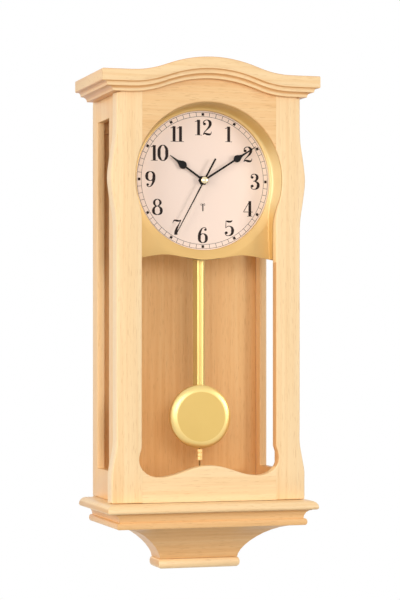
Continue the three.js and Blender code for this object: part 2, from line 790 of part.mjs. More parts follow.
function baseBoard() {
  const levels = boardNose.map(([setBack, up]) => (
    { half: boardHalf - setBack, front: boardFront + setBack, z: boardBottom + up }
  ));
  const tongue = block([-caseHalf, -2 * RETURN_STOP, boardBottom], [caseHalf, 0, floorTop]);
  return join(tieredBlock(levels, -RETURN_STOP), tongue);
}

const baseInnerX = caseHalf - BASE_MOULDING_INSET;
const baseReach = BASE_COVE[1][0] * BASE_MOULDING_RATIO;
const baseInnerY = boardFront + BASE_MOULDING_SET_BACK + baseReach;

function baseMouldingFront() {
  return moulding(baseSection, [-1, 1].map((side) => (
    { x: side * baseInnerX, y: baseInnerY, z: baseMouldingBottom, outX: side, outY: -BASE_MOULDING_RATIO }
  )));
}

const baseMouldingReturn = (side) => sideReturn(baseSection, side, {
  innerX: baseInnerX,
  innerY: baseInnerY,
  z: baseMouldingBottom,
  ratio: BASE_MOULDING_RATIO,
  stop: RETURN_STOP,
});

// Console

const neckHalf = baseInnerX + CONSOLE_SIDE_LAP - CONSOLE_TOP[0];
const neckFront = baseInnerY - CONSOLE_FRONT_LAP + CONSOLE_TOP[0] * CONSOLE_RATIO;
const neckRear = neckFront + NECK_DEPTH;

function consoleFront() {
  return moulding(consoleSection, [-1, 1].map((side) => (
    { x: side * neckHalf, y: neckFront, z: consoleBottom, outX: side, outY: -CONSOLE_RATIO }
  )));
}

const consoleReturn = (side) => sideReturn(consoleSection, side, {
  innerX: neckHalf,
  innerY: neckFront,
  z: consoleBottom,
  ratio: CONSOLE_RATIO,
  stop: -neckRear,
});

function consoleFoot() {
  const levels = footBead.map(([out, z]) => (
    { half: neckHalf + out, front: neckFront - out, z }
  ));
  return tieredBlock(levels, neckRear);
}

// Bezel plate and dial

function bezelPlate() {
  const low = dialZ - BEZEL_DROP;
  const right = [
    [BEZEL_CREST / 2, low + BEZEL_WAVE / 2], [BEZEL_CREST, low + BEZEL_WAVE],
    [fittedHalf - BEZEL_TROUGH_MARGIN, low], [fittedHalf, low - BEZEL_WAVE / 2],
  ];
  const edge = smooth([...mirrored(right), [0, low], ...right], 32);
  const top = frameTop - GLUE_LINE;
  const outline = [...edge, [fittedHalf, top], [-fittedHalf, top]];
  const plate = frontPlate(outline, bezelFront, bezelRear);
  const collar = turned(
    pin(holeRadius + COLLAR_WALL, bezelFront, dialFront - GLUE_LINE), WIDE_ROUND, 0, dialZ,
  );
  const hole = turned(pin(holeRadius, bezelFront - OVERCUT, dialFront + OVERCUT), WIDE_ROUND, 0, dialZ);
  return cut(join(plate, collar), hole);
}

function bezelBatten(side) {
  const outer = side * fittedHalf;
  const inner = side * (fittedHalf - BATTEN_WIDTH);
  const low = dialZ - BEZEL_DROP + BEZEL_WAVE + BATTEN_MARGIN;
  const high = frameTop - BATTEN_MARGIN;
  return block(
    [Math.min(inner, outer), frameRear + GLUE_LINE, low],
    [Math.max(inner, outer), bezelFront - GLUE_LINE, high],
  );
}

function dialDisc() {
  const profile = ring(bushRadius + RUNNING_GAP, holeRadius + DIAL_LAP, dialFront, dialRear);
  return turned(profile, WIDE_ROUND, 0, dialZ);
}

// Movement

const cellZ = dialZ - MOVEMENT_BOTTOM + MOVEMENT_WALL + GLUE_LINE + CELL_RADIUS;
const cellY = movementFront + MOVEMENT_WALL + GLUE_LINE + CELL_RADIUS;
const roomHalf = MOVEMENT_HALF_WIDTH - MOVEMENT_WALL;

function movementCase() {
  const low = dialZ - MOVEMENT_BOTTOM;
  const high = dialZ + MOVEMENT_TOP;
  const shell = block(
    [-MOVEMENT_HALF_WIDTH, movementFront, low],
    [MOVEMENT_HALF_WIDTH, movementRear, high],
  );
  const room = block(
    [-roomHalf, movementFront + MOVEMENT_WALL, low + MOVEMENT_WALL],
    [roomHalf, movementRear + OVERCUT, high - MOVEMENT_WALL],
  );
  const floor = movementFront + MOVEMENT_WALL;
  const bush = turned(pin(bushRadius, bushFront, floor), ROUND, 0, dialZ);
  const bore = turned(pin(bushBore, bushFront - OVERCUT, floor + OVERCUT), ROUND, 0, dialZ);
  const studEnd = motionWheelFront + WHEEL_THICKNESS + WHEEL_STEP;
  const stud = turned(pin(STUD_RADIUS, movementFront, studEnd), SMALL_ROUND, 0, dialZ + wheelDistance);
  return cut(join(cut(shell, room), bush, stud), bore);
}

function movementCover() {
  const front = movementRear + GLUE_LINE;
  const outline = rectangle(
    -MOVEMENT_HALF_WIDTH, dialZ - COVER_BOTTOM, MOVEMENT_HALF_WIDTH, dialZ + MOVEMENT_TOP,
  );
  const holes = [-1, 1].map((side) => (
    circle(BUTTON_RADIUS + RUNNING_GAP, SMALL_ROUND, side * BUTTON_SPACING / 2, dialZ + BUTTON_RISE)
  ));
  return frontPlate(outline, front, coverRear, holes);
}

function shaftNut() {
  const rear = dialFront - PRESS_GAP;
  const hexagon = circle(NUT_RADIUS, 6, 0, dialZ);
  const bore = circle(bushRadius + PRESS_GAP, ROUND, 0, dialZ);
  return frontPlate(hexagon, rear - NUT_THICKNESS, rear, [bore]);
}

function pushButton(side) {
  const flangeRear = movementRear;
  const flangeFront = flangeRear - BUTTON_FLANGE_THICKNESS;
  const end = coverRear + BUTTON_STAND;
  const profile = [
    [0, flangeFront], [BUTTON_FLANGE, flangeFront], [BUTTON_FLANGE, flangeRear],
    [BUTTON_RADIUS, flangeRear], [BUTTON_RADIUS, end - BUTTON_EDGE], [BUTTON_RADIUS - BUTTON_EDGE, end],
    [0, end],
  ];
  return turned(profile, SMALL_ROUND, side * BUTTON_SPACING / 2, dialZ + BUTTON_RISE);
}

function batteryCell() {
  const half = CELL_LENGTH / 2;
  return turnedAcross([
    [0, -half], [CELL_RADIUS - CELL_EDGE, -half], [CELL_RADIUS, CELL_EDGE - half],
    [CELL_RADIUS, half - CELL_EDGE], [CELL_RADIUS - CELL_EDGE, half], [CELL_NUB_RADIUS, half],
    [CELL_NUB_RADIUS, half + CELL_NUB_LENGTH], [0, half + CELL_NUB_LENGTH],
  ], ROUND, cellY, cellZ);
}

function batteryContact(side) {
  const outer = side * (roomHalf - GLUE_LINE);
  const inner = outer - side * CONTACT_THICKNESS;
  const half = CONTACT_HEIGHT / 2;
  return block(
    [Math.min(inner, outer), cellY - half, cellZ - half],
    [Math.max(inner, outer), cellY + half, cellZ + half],
  );
}

function circuitBoard() {
  const half = roomHalf - GLUE_LINE;
  return block(
    [-half, boardRear - BOARD_THICKNESS, dialZ - COVER_BOTTOM + GLUE_LINE],
    [half, boardRear, dialZ + MOVEMENT_TOP - MOVEMENT_WALL - GLUE_LINE],
  );
}

function motorCoil(side) {
  const start = side * MOTOR_CENTRE - MOTOR_LENGTH / 2;
  const y = boardRear - BOARD_THICKNESS - GLUE_LINE - MOTOR_RADIUS;
  const end = start + MOTOR_LENGTH;
  return turnedAcross([
    [0, start], [MOTOR_RADIUS, start], [MOTOR_RADIUS, start + MOTOR_LIP], [MOTOR_NECK, start + MOTOR_LIP],
    [MOTOR_NECK, end - MOTOR_LIP], [MOTOR_RADIUS, end - MOTOR_LIP], [MOTOR_RADIUS, end], [0, end],
  ], SMALL_ROUND, y, dialZ + MOTOR_RISE);
}

const coilOuter = ANTENNA_RADIUS + PRESS_GAP + ANTENNA_COIL_WALL;
const antennaZ = dialZ + MOVEMENT_TOP + GLUE_LINE + coilOuter;
const antennaY = (movementFront + movementRear) / 2;

function antennaRod() {
  const half = ANTENNA_LENGTH / 2;
  return turnedAcross(pin(ANTENNA_RADIUS, -half, half), ROUND, antennaY, antennaZ);
}

function antennaCoil() {
  const half = ANTENNA_COIL_LENGTH / 2;
  return turnedAcross(ring(ANTENNA_RADIUS + PRESS_GAP, coilOuter, -half, half), ROUND, antennaY, antennaZ);
}

// Wheels

// Outline of a toothed wheel around (0, z), with a tooth or a gap pointing along the given angle.
function toothedOutline(teeth, module, z, toothAngle) {
  const pitch = 2 * Math.PI / teeth;
  const radius = module * teeth / 2;
  const root = radius - TOOTH_ROOT * module;
  const tip = radius + TOOTH_TIP * module;
  const flank = [
    [root, -TOOTH_FOOT_SHARE], [tip, -TOOTH_TIP_SHARE], [tip, TOOTH_TIP_SHARE], [root, TOOTH_FOOT_SHARE],
  ];
  const points = [];
  for (let tooth = 0; tooth < teeth; tooth += 1) {
    flank.forEach(([reach, share]) => {
      const angle = toothAngle + (tooth + share) * pitch;
      points.push([reach * Math.cos(angle), z + reach * Math.sin(angle)]);
    });
  }
  return points;
}

const upward = Math.PI / 2;

function cannonPinion() {
  const rear = motionWheelFront + WHEEL_THICKNESS;
  const teeth = frontPlate(
    toothedOutline(CANNON_TEETH, FIRST_MODULE, dialZ, upward), motionWheelFront - WHEEL_STEP / 3, rear,
  );
  const end = minuteHandRear - HAND_THICKNESS - PRESS_GAP;
  const tube = turned(pin(minuteTube, end, rear), SMALL_ROUND, 0, dialZ);
  const bore = turned(pin(minuteBore, end - OVERCUT, rear + OVERCUT), SMALL_ROUND, 0, dialZ);
  return cut(join(teeth, tube), bore);
}

function motionWheel() {
  const z = dialZ + wheelDistance;
  const rear = motionWheelFront + WHEEL_THICKNESS;
  const halfPitch = Math.PI / MOTION_TEETH;
  const wheel = frontPlate(
    toothedOutline(MOTION_TEETH, FIRST_MODULE, z, -upward + halfPitch), motionWheelFront, rear,
  );
  const pinion = frontPlate(
    toothedOutline(MOTION_PINION_TEETH, secondModule, z, -upward),
    hourWheelFront - WHEEL_STEP / 3, motionWheelFront + WHEEL_STEP / 3,
  );
  const hole = pin(STUD_RADIUS + RUNNING_GAP, hourWheelFront - OVERCUT, rear + OVERCUT);
  const bore = turned(hole, SMALL_ROUND, 0, z);
  return cut(join(wheel, pinion), bore);
}

function hourWheel() {
  const rear = hourWheelFront + WHEEL_THICKNESS;
  const halfPitch = Math.PI / HOUR_TEETH;
  const wheel = frontPlate(
    toothedOutline(HOUR_TEETH, secondModule, dialZ, upward + halfPitch), hourWheelFront, rear,
  );
  const end = hourHandRear - HAND_THICKNESS - PRESS_GAP;
  const tube = turned(pin(hourTube, end, rear), SMALL_ROUND, 0, dialZ);
  const bore = turned(pin(hourBore, end - OVERCUT, rear + OVERCUT), SMALL_ROUND, 0, dialZ);
  return cut(join(wheel, tube), bore);
}

function secondWheel() {
  const rear = secondWheelFront + WHEEL_THICKNESS;
  const end = secondHandFront - PRESS_GAP;
  return turned([
    [0, end], [ARBOR_RADIUS, end], [ARBOR_RADIUS, secondWheelFront],
    [SECOND_WHEEL_RADIUS, secondWheelFront], [SECOND_WHEEL_RADIUS, rear], [ARBOR_RADIUS, rear],
    [ARBOR_RADIUS, rear + WHEEL_STEP], [0, rear + WHEEL_STEP],
  ], ROUND, 0, dialZ);
}

// Hands

// A hand drawn upright by its right half, turned clockwise to its angle and set at the dial centre.
function hand(rightHalf, rear, bore, degrees) {
  const outline = [...rightHalf, ...mirrored(rightHalf)];
  const blade = frontPlate(outline, rear - HAND_THICKNESS, rear, [circle(bore, SMALL_ROUND)]);
  return blade.rotate([0, degrees, 0]).translate([0, 0, dialZ]);
}

// Right side of a round hub, between the half widths of what leaves it below and above.
function hubArc(hub, lowHalf, highHalf) {
  const low = -Math.acos(lowHalf / hub);
  const high = Math.acos(highHalf / hub);
  return Array.from({ length: HUB_STEPS + 1 }, (unused, i) => {
    const angle = low + (high - low) * i / HUB_STEPS;
    return [hub * Math.cos(angle), hub * Math.sin(angle)];
  });
}

// Right half of a pear-shaped hand, hub to tip.
function pearHalf(length, dropAt, dropRadius, hub) {
  const neck = [STEM_HALF_WIDTH, dropAt + dropRadius * PEAR_NECK_RATIO];
  const swell = PEAR_SWELL_RATIOS.map(([out, along]) => [dropRadius * out, dropAt + dropRadius * along]);
  const point = [POINT_HALF_WIDTH, dropAt + dropRadius * PEAR_POINT_RATIO];
  const drop = smooth([neck, ...swell, point], PEAR_STEPS).slice(0, -1);
  return [...hubArc(hub, STEM_TIP, STEM_ROOT), ...drop, [STEM_TIP, length]];
}

const hourHand = () => hand(
  pearHalf(HOUR_LENGTH, HOUR_DROP, HOUR_DROP_RADIUS, HOUR_HUB),
  hourHandRear, hourTube + PRESS_GAP, HOUR_ANGLE,
);

const minuteHand = () => hand(
  pearHalf(MINUTE_LENGTH, MINUTE_DROP, MINUTE_DROP_RADIUS, MINUTE_HUB),
  minuteHandRear, minuteTube + PRESS_GAP, MINUTE_ANGLE,
);

const secondHand = () => hand(
  [
    [TAIL_HALF_WIDTH, -SECOND_TAIL], ...hubArc(SECOND_HUB, TAIL_HALF_WIDTH, SECOND_HALF_WIDTH),
    [SECOND_TIP, SECOND_LENGTH],
  ],
  secondHandRear, ARBOR_RADIUS + PRESS_GAP, SECOND_ANGLE,
);

function handCap() {
  const rear = secondHandFront - GLUE_LINE;
  const dome = quarter.map(([across, up]) => [CAP_RADIUS * across, rear - CAP_HEIGHT * (1 - up)]);
  return turned([...dome, [0, rear]], ROUND, 0, dialZ);
}

// Pendulum

function pendulumBracket() {
  const low = bracketTop - BRACKET_HEIGHT;
  const shell = block(
    [-BRACKET_HALF_WIDTH, bracketFront, low],
    [BRACKET_HALF_WIDTH, bracketRear, bracketTop],
  );
  const room = block(
    [-BRACKET_HALF_WIDTH - OVERCUT, bracketFront + BRACKET_WALL, low - OVERCUT],
    [BRACKET_HALF_WIDTH + OVERCUT, bracketRear - BRACKET_WALL, bracketTop - BRACKET_WALL],
  );
  const through = pin(PIVOT_RADIUS + PRESS_GAP, bracketFront - OVERCUT, bracketRear + OVERCUT);
  const hole = turned(through, SMALL_ROUND, 0, pivotZ);
  return cut(shell, room, hole);
}

const pivotPin = () => turned(pin(PIVOT_RADIUS, bracketFront, bracketRear), SMALL_ROUND, 0, pivotZ);

const driveCoil = () => turned(
  ring(COIL_BORE, COIL_RADIUS, bracketRear + GLUE_LINE, bracketRear + GLUE_LINE + COIL_THICKNESS),
  ROUND, 0, pivotZ - MAGNET_DROP,
);

function pendulumArm() {
  const eye = turned(pin(ARM_EYE, armFront, armRear), ROUND, 0, pivotZ);
  const strip = block(
    [-ARM_HALF_WIDTH, armFront, pivotZ - ARM_LENGTH], [ARM_HALF_WIDTH, armRear, pivotZ],
  );
  const through = pin(PIVOT_RADIUS + RUNNING_GAP, armFront - OVERCUT, armRear + OVERCUT);
  const bore = turned(through, SMALL_ROUND, 0, pivotZ);
  return cut(join(eye, strip), bore);
}

const armMagnet = () => turned(
  pin(MAGNET_RADIUS, armRear + GLUE_LINE, armRear + GLUE_LINE + MAGNET_THICKNESS),
  SMALL_ROUND, 0, pivotZ - MAGNET_DROP,
);

// Bob outline [radius, depth], grown outward by a clearance.
function bobProfile(grow) {
  const rear = rodAxisY + BOB_RIM / 2 + grow;
  const rim = rodAxisY - BOB_RIM / 2;
  const face = rodAxisY - BOB_RIM / 2 - BOB_FRONT_SWELL - grow;
  const edge = BOB_RADIUS + grow;
  const lip = BOB_FACE + grow;
  const shoulder = quarter.map(([across, back]) => (
    [lip + (edge - lip) * across, face + (rim - face) * back]
  ));
  return [[0, face], ...shoulder, [edge, rear], [0, rear]];
}

const bobFront = () => turned(bobProfile(0), WIDE_ROUND, 0, bobZ);

function bobBack() {
  const front = rodAxisY + BOB_RIM / 2 + GLUE_LINE;
  const profile = pin(BOB_RADIUS - BOB_BACK_INSET, front, front + BOB_BACK_THICKNESS);
  return turned(profile, WIDE_ROUND, 0, bobZ);
}

// Pressed rod with sloping flanks and a crowned front, its lower end shaped to the bob.
function pendulumRod() {
  const front = rodRear - ROD_DEPTH;
  const edge = rodRear - ROD_EDGE;
  const profile = [
    [ROD_HALF_WIDTH, rodRear], [-ROD_HALF_WIDTH, rodRear], [-ROD_HALF_WIDTH, edge],
  ];
  for (const share of [-1, -0.5, 0, 0.5, 1]) {
    profile.push([ROD_FRONT_HALF * share, front + ROD_CROWN * share * share]);
  }
  profile.push([ROD_HALF_WIDTH, edge]);
  const backReach = rodAxisY + BOB_RIM / 2 + 2 * GLUE_LINE + BOB_BACK_THICKNESS;
  const coverSpace = turned(
    pin(BOB_RADIUS - BOB_BACK_INSET + GLUE_LINE, rodAxisY, backReach), WIDE_ROUND, 0, bobZ,
  );
  const bar = uprightBar(profile, bobZ + BOB_FACE, rodTop);
  return cut(bar, turned(bobProfile(GLUE_LINE), WIDE_ROUND, 0, bobZ), coverSpace);
}

const studTop = bobZ - BOB_RADIUS - GLUE_LINE;

const ratingStud = () => turnedUpright(
  pin(RATING_STUD_RADIUS, studTop - RATING_STUD_LENGTH, studTop), SMALL_ROUND, 0, rodAxisY,
);

function ratingNut() {
  const top = studTop - RATING_NUT_DROP;
  const bottom = top - RATING_NUT_LENGTH;
  return turnedUpright(
    ring(RATING_STUD_RADIUS + RUNNING_GAP, RATING_NUT_RADIUS, bottom, top), ROUND, 0, rodAxisY,
  );
}

// Assembly

const LEFT = -1;
const RIGHT = 1;
const clock = new THREE.Group();
clock.name = 'pendulum_wall_clock';

function add(name, body, material) {
  const geometry = surface(body.translate([0, 0, -originZ])).toNonIndexed();
  geometry.computeVertexNormals();
  const mesh = new THREE.Mesh(geometry, material);
  mesh.name = name;
  clock.add(mesh);
}

add('side_panel_left', sidePanel(LEFT), paleWood);
add('side_panel_right', sidePanel(RIGHT), paleWood);
add('back_panel', backPanel(), veneer);
add('top_board', topBoard(), paleWood);
add('hanging_rail', hangingRail(), paleWood);
add('hanger_plate', hangerPlate(), steel);
add('hanger_screw_left', hangerScrew(LEFT), steel);
add('hanger_screw_right', hangerScrew(RIGHT), steel);

add('frame_stile_left', stile(LEFT), paleWood);
add('frame_stile_right', stile(RIGHT), paleWood);
add('frame_top_rail', topRail(), paleWood);
add('frame_bottom_rail', bottomRail(), paleWood);

add('crown_front', crownFront(), paleWood);
add('crown_return_left', crownReturn(LEFT), paleWood);
add('crown_return_right', crownReturn(RIGHT), paleWood);

add('base_board', baseBoard(), paleWood);
add('base_moulding_front', baseMouldingFront(), paleWood);
add('base_moulding_left', baseMouldingReturn(LEFT), paleWood);
add('base_moulding_right', baseMouldingReturn(RIGHT), paleWood);
add('console_front', consoleFront(), paleWood);
add('console_left', consoleReturn(LEFT), paleWood);
add('console_right', consoleReturn(RIGHT), paleWood);
add('console_foot', consoleFoot(), paleWood);

add('bezel_plate', bezelPlate(), satinGold);
add('bezel_batten_left', bezelBatten(LEFT), paleWood);
add('bezel_batten_right', bezelBatten(RIGHT), paleWood);
add('dial_disc', dialDisc(), dialWhite);

add('movement_case', movementCase(), darkPlastic);
add('movement_cover', movementCover(), darkPlastic);
add('shaft_nut', shaftNut(), brass);
add('battery_cell', batteryCell(), cellGrey);
add('battery_contact_left', batteryContact(LEFT), steel);
add('battery_contact_right', batteryContact(RIGHT), steel);
add('circuit_board', circuitBoard(), circuitGreen);
add('motor_coil_left', motorCoil(LEFT), copper);
add('motor_coil_right', motorCoil(RIGHT), copper);
add('antenna_rod', antennaRod(), ferrite);
add('antenna_coil', antennaCoil(), copper);
add('set_button', pushButton(LEFT), palePlastic);
add('reset_button', pushButton(RIGHT), redPlastic);

add('cannon_pinion', cannonPinion(), palePlastic);
add('motion_wheel', motionWheel(), palePlastic);
add('hour_wheel', hourWheel(), palePlastic);
add('second_wheel', secondWheel(), palePlastic);
add('hour_hand', hourHand(), handBlack);
add('minute_hand', minuteHand(), handBlack);
add('second_hand', secondHand(), handBlack);
add('hand_cap', handCap(), brass);

add('pendulum_bracket', pendulumBracket(), darkPlastic);
add('pivot_pin', pivotPin(), steel);
add('drive_coil', driveCoil(), copper);
add('pendulum_arm', pendulumArm(), palePlastic);
add('arm_magnet', armMagnet(), steel);
add('pendulum_rod', pendulumRod(), brass);
add('bob_front', bobFront(), brass);
add('bob_back', bobBack(), brass);
add('rating_stud', ratingStud(), brass);
add('rating_nut', ratingNut(), brass);

export default clock;
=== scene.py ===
# %% [markdown]
# A wooden wall clock with a pendulum, photographed on white.
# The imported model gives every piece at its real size, in metres, with +Z up and the dial facing -Y.
# This lesson dresses that frame: softer edges on the wood, a printed dial, metal that shines, and light.

# %% Load the frame
import json
import math

import bmesh
import bpy
from mathutils import Matrix, Vector


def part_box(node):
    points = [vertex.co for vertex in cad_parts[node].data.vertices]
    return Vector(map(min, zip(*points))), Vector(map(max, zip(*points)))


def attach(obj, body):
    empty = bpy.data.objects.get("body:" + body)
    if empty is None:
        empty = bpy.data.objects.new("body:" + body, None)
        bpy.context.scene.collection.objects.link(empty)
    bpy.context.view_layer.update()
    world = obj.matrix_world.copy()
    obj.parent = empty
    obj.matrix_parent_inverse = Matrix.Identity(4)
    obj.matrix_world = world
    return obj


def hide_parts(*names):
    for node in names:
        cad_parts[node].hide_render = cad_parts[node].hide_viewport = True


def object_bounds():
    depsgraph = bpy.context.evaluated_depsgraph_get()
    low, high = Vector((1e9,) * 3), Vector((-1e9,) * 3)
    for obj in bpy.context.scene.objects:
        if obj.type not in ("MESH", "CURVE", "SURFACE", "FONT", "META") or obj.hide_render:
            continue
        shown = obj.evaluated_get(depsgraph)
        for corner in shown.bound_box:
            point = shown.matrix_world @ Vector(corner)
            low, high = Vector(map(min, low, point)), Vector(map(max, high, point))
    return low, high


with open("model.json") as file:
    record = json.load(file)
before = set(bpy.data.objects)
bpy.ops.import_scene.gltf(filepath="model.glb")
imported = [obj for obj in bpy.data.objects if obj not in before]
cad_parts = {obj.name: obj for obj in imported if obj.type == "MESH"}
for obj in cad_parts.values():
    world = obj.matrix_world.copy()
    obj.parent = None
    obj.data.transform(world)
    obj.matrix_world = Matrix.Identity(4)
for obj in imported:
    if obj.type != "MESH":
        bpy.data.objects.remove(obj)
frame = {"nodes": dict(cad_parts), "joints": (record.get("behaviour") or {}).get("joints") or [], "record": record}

MM = 0.001
cad_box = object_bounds()
joint_places = {joint["name"]: Vector(joint.get("pos_m", (0, 0, 0))) for joint in frame["joints"]}
bodies = frame["record"]["behaviour"]["bodies"]
body_of_node = {node: body for body, nodes in bodies.items() for node in nodes}
slot_of_node = {part["node"]: part["material_slot"] for part in frame["record"]["subparts"]}
dial_centre = joint_places["minute_turn"]
print("nodes:", len(frame["nodes"]), "dial centre:", tuple(round(value, 4) for value in dial_centre))

# %% [markdown]
# The camera stands to the left of the clock, a little below the dial, and looks level.
# Its place was found once by matching points of the case to the photograph, so it is written as numbers.
# The photograph is cropped off centre. A shifted lens repeats that crop without tilting the camera.

# %% Camera
IMAGE_WIDTH = 400
IMAGE_HEIGHT = 600
FOCAL_PIXELS = 2039.0
AIM_PIXEL = (203.3, 337.0)
CAMERA_PLACE = (-0.733, -2.4869, -0.2992)
CAMERA_TURN = math.radians(17.145)
SENSOR = 36.0

camera_data = bpy.data.cameras.new("camera")
camera_data.sensor_width = SENSOR
camera_data.lens = SENSOR * FOCAL_PIXELS / IMAGE_HEIGHT
camera_data.shift_x = (IMAGE_WIDTH / 2 - AIM_PIXEL[0]) / IMAGE_HEIGHT
camera_data.shift_y = (AIM_PIXEL[1] - IMAGE_HEIGHT / 2) / IMAGE_HEIGHT
camera = bpy.data.objects.new("camera", camera_data)
camera.location = CAMERA_PLACE
camera.rotation_euler = (math.pi / 2, 0, -CAMERA_TURN)
bpy.context.scene.collection.objects.link(camera)
bpy.context.scene.camera = camera
bpy.context.scene.view_settings.view_transform = "Standard"
print("lens:", round(camera_data.lens, 2), "mm")

# %% [markdown]
# Materials are node graphs, and graphs are easier to read as sums.
# Signal wraps one output socket, so that `0.4 + 0.2 * grain` adds the Math nodes by itself.
# Every other node comes from Graph.node: its type, its settings, and then what goes into its sockets.

# %% Shader sums
class Signal:
    """An output socket that can be added, multiplied and compared like a number."""

    def __init__(self, graph, socket):
        self.graph = graph
        self.socket = socket

    def sum(self, operation, first, second):
        return self.graph.node("ShaderNodeMath", {"operation": operation}, {0: first, 1: second})

    def __add__(self, other):
        return self.sum("ADD", self, other)

    def __radd__(self, other):
        return self.sum("ADD", other, self)

    def __sub__(self, other):
        return self.sum("SUBTRACT", self, other)

    def __rsub__(self, other):
        return self.sum("SUBTRACT", other, self)

    def __mul__(self, other):
        return self.sum("MULTIPLY", self, other)

    def __rmul__(self, other):
        return self.sum("MULTIPLY", other, self)

    def __gt__(self, other):
        return self.sum("GREATER_THAN", self, other)


class Graph:
    """A node tree that nodes are added to."""

    def __init__(self, tree):
        self.tree = tree

    def plug(self, socket, value):
        if isinstance(value, Signal):
            self.tree.links.new(value.socket, socket)
        else:
            socket.default_value = value

    def node(self, kind, settings=None, inputs=None, output=0):
        node = self.tree.nodes.new(kind)
        for name, value in (settings or {}).items():
            if name == "stops":
                self.set_stops(node.color_ramp, value)
            else:
                setattr(node, name, value)
        for name, value in (inputs or {}).items():
            self.plug(node.inputs[name], value)
        return Signal(self, node.outputs[output]) if node.outputs else None

    @staticmethod
    def set_stops(ramp, stops):
        while len(ramp.elements) < len(stops):
            ramp.elements.new(1)
        for element, (place, color) in zip(ramp.elements, stops):
            element.position = place
            element.color = color

    def mix(self, share, first, second):
        """Mixes two colours. The colour sockets of a Mix node are its seventh and eighth."""
        return self.node("ShaderNodeMix", {"data_type": "RGBA"}, {0: share, 6: first, 7: second}, 2)

    def noise(self, place, scale, detail=2, roughness=0.5):
        return self.node("ShaderNodeTexNoise", {},
                         {"Vector": place, "Scale": scale, "Detail": detail, "Roughness": roughness})

    def stretched(self, scale=(1, 1, 1), shift=(0, 0, 0)):
        """The piece's own coordinates, scaled axis by axis."""
        place = self.node("ShaderNodeTexCoord", output="Object")
        return self.node("ShaderNodeMapping", {}, {"Vector": place, "Scale": scale, "Location": shift})

    def part(self, vector, axis):
        """One number of a vector, by the letter of its axis."""
        return self.node("ShaderNodeSeparateXYZ", {}, {"Vector": vector}, axis.upper())

    def ease(self, value, start, stop, top=1.0):
        """Goes softly from 0 to top while a value goes from start to stop."""
        return self.node("ShaderNodeMapRange", {"interpolation_type": "SMOOTHSTEP"},
                         {"Value": value, "From Min": start, "From Max": stop, "To Max": top})

    def bump(self, height, strength, distance):
        return self.node("ShaderNodeBump", {},
                         {"Height": height, "Strength": strength, "Distance": distance})


def color(red, green, blue):
    """A colour as a painter reads it from a screen, 0 to 255, for a linear renderer."""
    def linear(value):
        share = value / 255
        return share / 12.92 if share <= 0.04045 else ((share + 0.055) / 1.055) ** 2.4
    return (linear(red), linear(green), linear(blue), 1)


def new_material(name):
    material = bpy.data.materials.new(name)
    material.use_nodes = True
    return material, Graph(material.node_tree), material.node_tree.nodes["Principled BSDF"]


def fill(graph, shader, values):
    for name, value in values.items():
        graph.plug(shader.inputs[name], value)

# %% [markdown]
# The photograph is lit like a catalogue page: white all round, with enough fill that no shadow goes black.
# The world is pure white to the eye and in reflections, but lights the clock a little less than that, so
# that pale wood keeps its colour. Four soft lamps add the direction. The key stands almost in front, a
# little left of the dial, and throws the pendulum's shadow on the back panel. A fill further left softens
# that shadow. A warm side lamp lights the left faces, and a small lamp on the right puts the glint on the
# bob's right rim.

# %% Light
AMBIENT = 0.25
OVERHEAD = 0.3
WHITE = (1, 1, 1, 1)
WARM_WHITE = (1, 0.96, 0.9, 1)

world = bpy.data.worlds.new("studio")
world.use_nodes = True
bpy.context.scene.world = world
world.node_tree.nodes.clear()
studio = Graph(world.node_tree)
seen = studio.node("ShaderNodeLightPath", output="Is Camera Ray")
mirrored = studio.node("ShaderNodeLightPath", output="Is Glossy Ray")
through = studio.node("ShaderNodeLightPath", output="Is Transmission Ray")
direction = studio.node("ShaderNodeTexCoord", output="Generated")
brightness = AMBIENT + OVERHEAD * studio.part(direction, "z")
soft = studio.node("ShaderNodeBackground", {}, {"Color": WARM_WHITE, "Strength": brightness})
plain = studio.node("ShaderNodeBackground", {}, {"Color": WHITE, "Strength": 1.0})
shown = studio.node("ShaderNodeMixShader", {}, {0: (seen + mirrored + through) > 0.5, 1: soft, 2: plain})
studio.node("ShaderNodeOutputWorld", {}, {"Surface": shown})


def lamp(name, place, aim, size, power, tint=(1, 1, 1)):
    data = bpy.data.lights.new(name, "AREA")
    data.color = tint
    data.size = size
    data.energy = power
    item = bpy.data.objects.new(name, data)
    item.location = place
    item.rotation_euler = (Vector(aim) - Vector(place)).to_track_quat("-Z", "Y").to_euler()
    bpy.context.scene.collection.objects.link(item)


CLOCK_MIDDLE = (0, -0.08, -0.28)
lamp("key", (-0.32, -2.6, 0.1), CLOCK_MIDDLE, size=0.5, power=12)
lamp("fill", (-1.05, -2.4, 0.1), CLOCK_MIDDLE, size=0.8, power=7.8)
lamp("side", (-2.64, -1.1, 0.1), CLOCK_MIDDLE, size=1.8, power=52, tint=(1, 0.9, 0.75))
lamp("kicker", (1.95, -1.8, 0.1), CLOCK_MIDDLE, size=0.7, power=22, tint=(1, 0.94, 0.84))

# %% [markdown]
# Every piece is finished the same way. Its faces are shaded smooth, edges that turn sharply stay crisp,
# and it is tied to the body that carries it, so that it moves when the clock runs.
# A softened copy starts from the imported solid: its triangles are merged and its flat faces cleaned, and
# then a bevel takes the knife edge off each corner, as sandpaper does on a real case.

# %% Pieces and softened copies
SHARP = math.radians(32)
CORNER = math.radians(35)
FLAT = math.radians(0.4)
WELD = 0.002 * MM
pieces_made = []


def finish_piece(name, shape, material, body, replaced=(), sharp=SHARP):
    for face in shape.faces:
        face.smooth = True
    for edge in shape.edges:
        edge.smooth = edge.calc_face_angle(0) < sharp
    mesh = bpy.data.meshes.new(name)
    shape.to_mesh(mesh)
    shape.free()
    mesh.materials.append(material)
    piece = bpy.data.objects.new(name, mesh)
    bpy.context.scene.collection.objects.link(piece)
    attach(piece, body)
    if replaced:
        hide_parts(*replaced)
    pieces_made.append(name)
    return piece


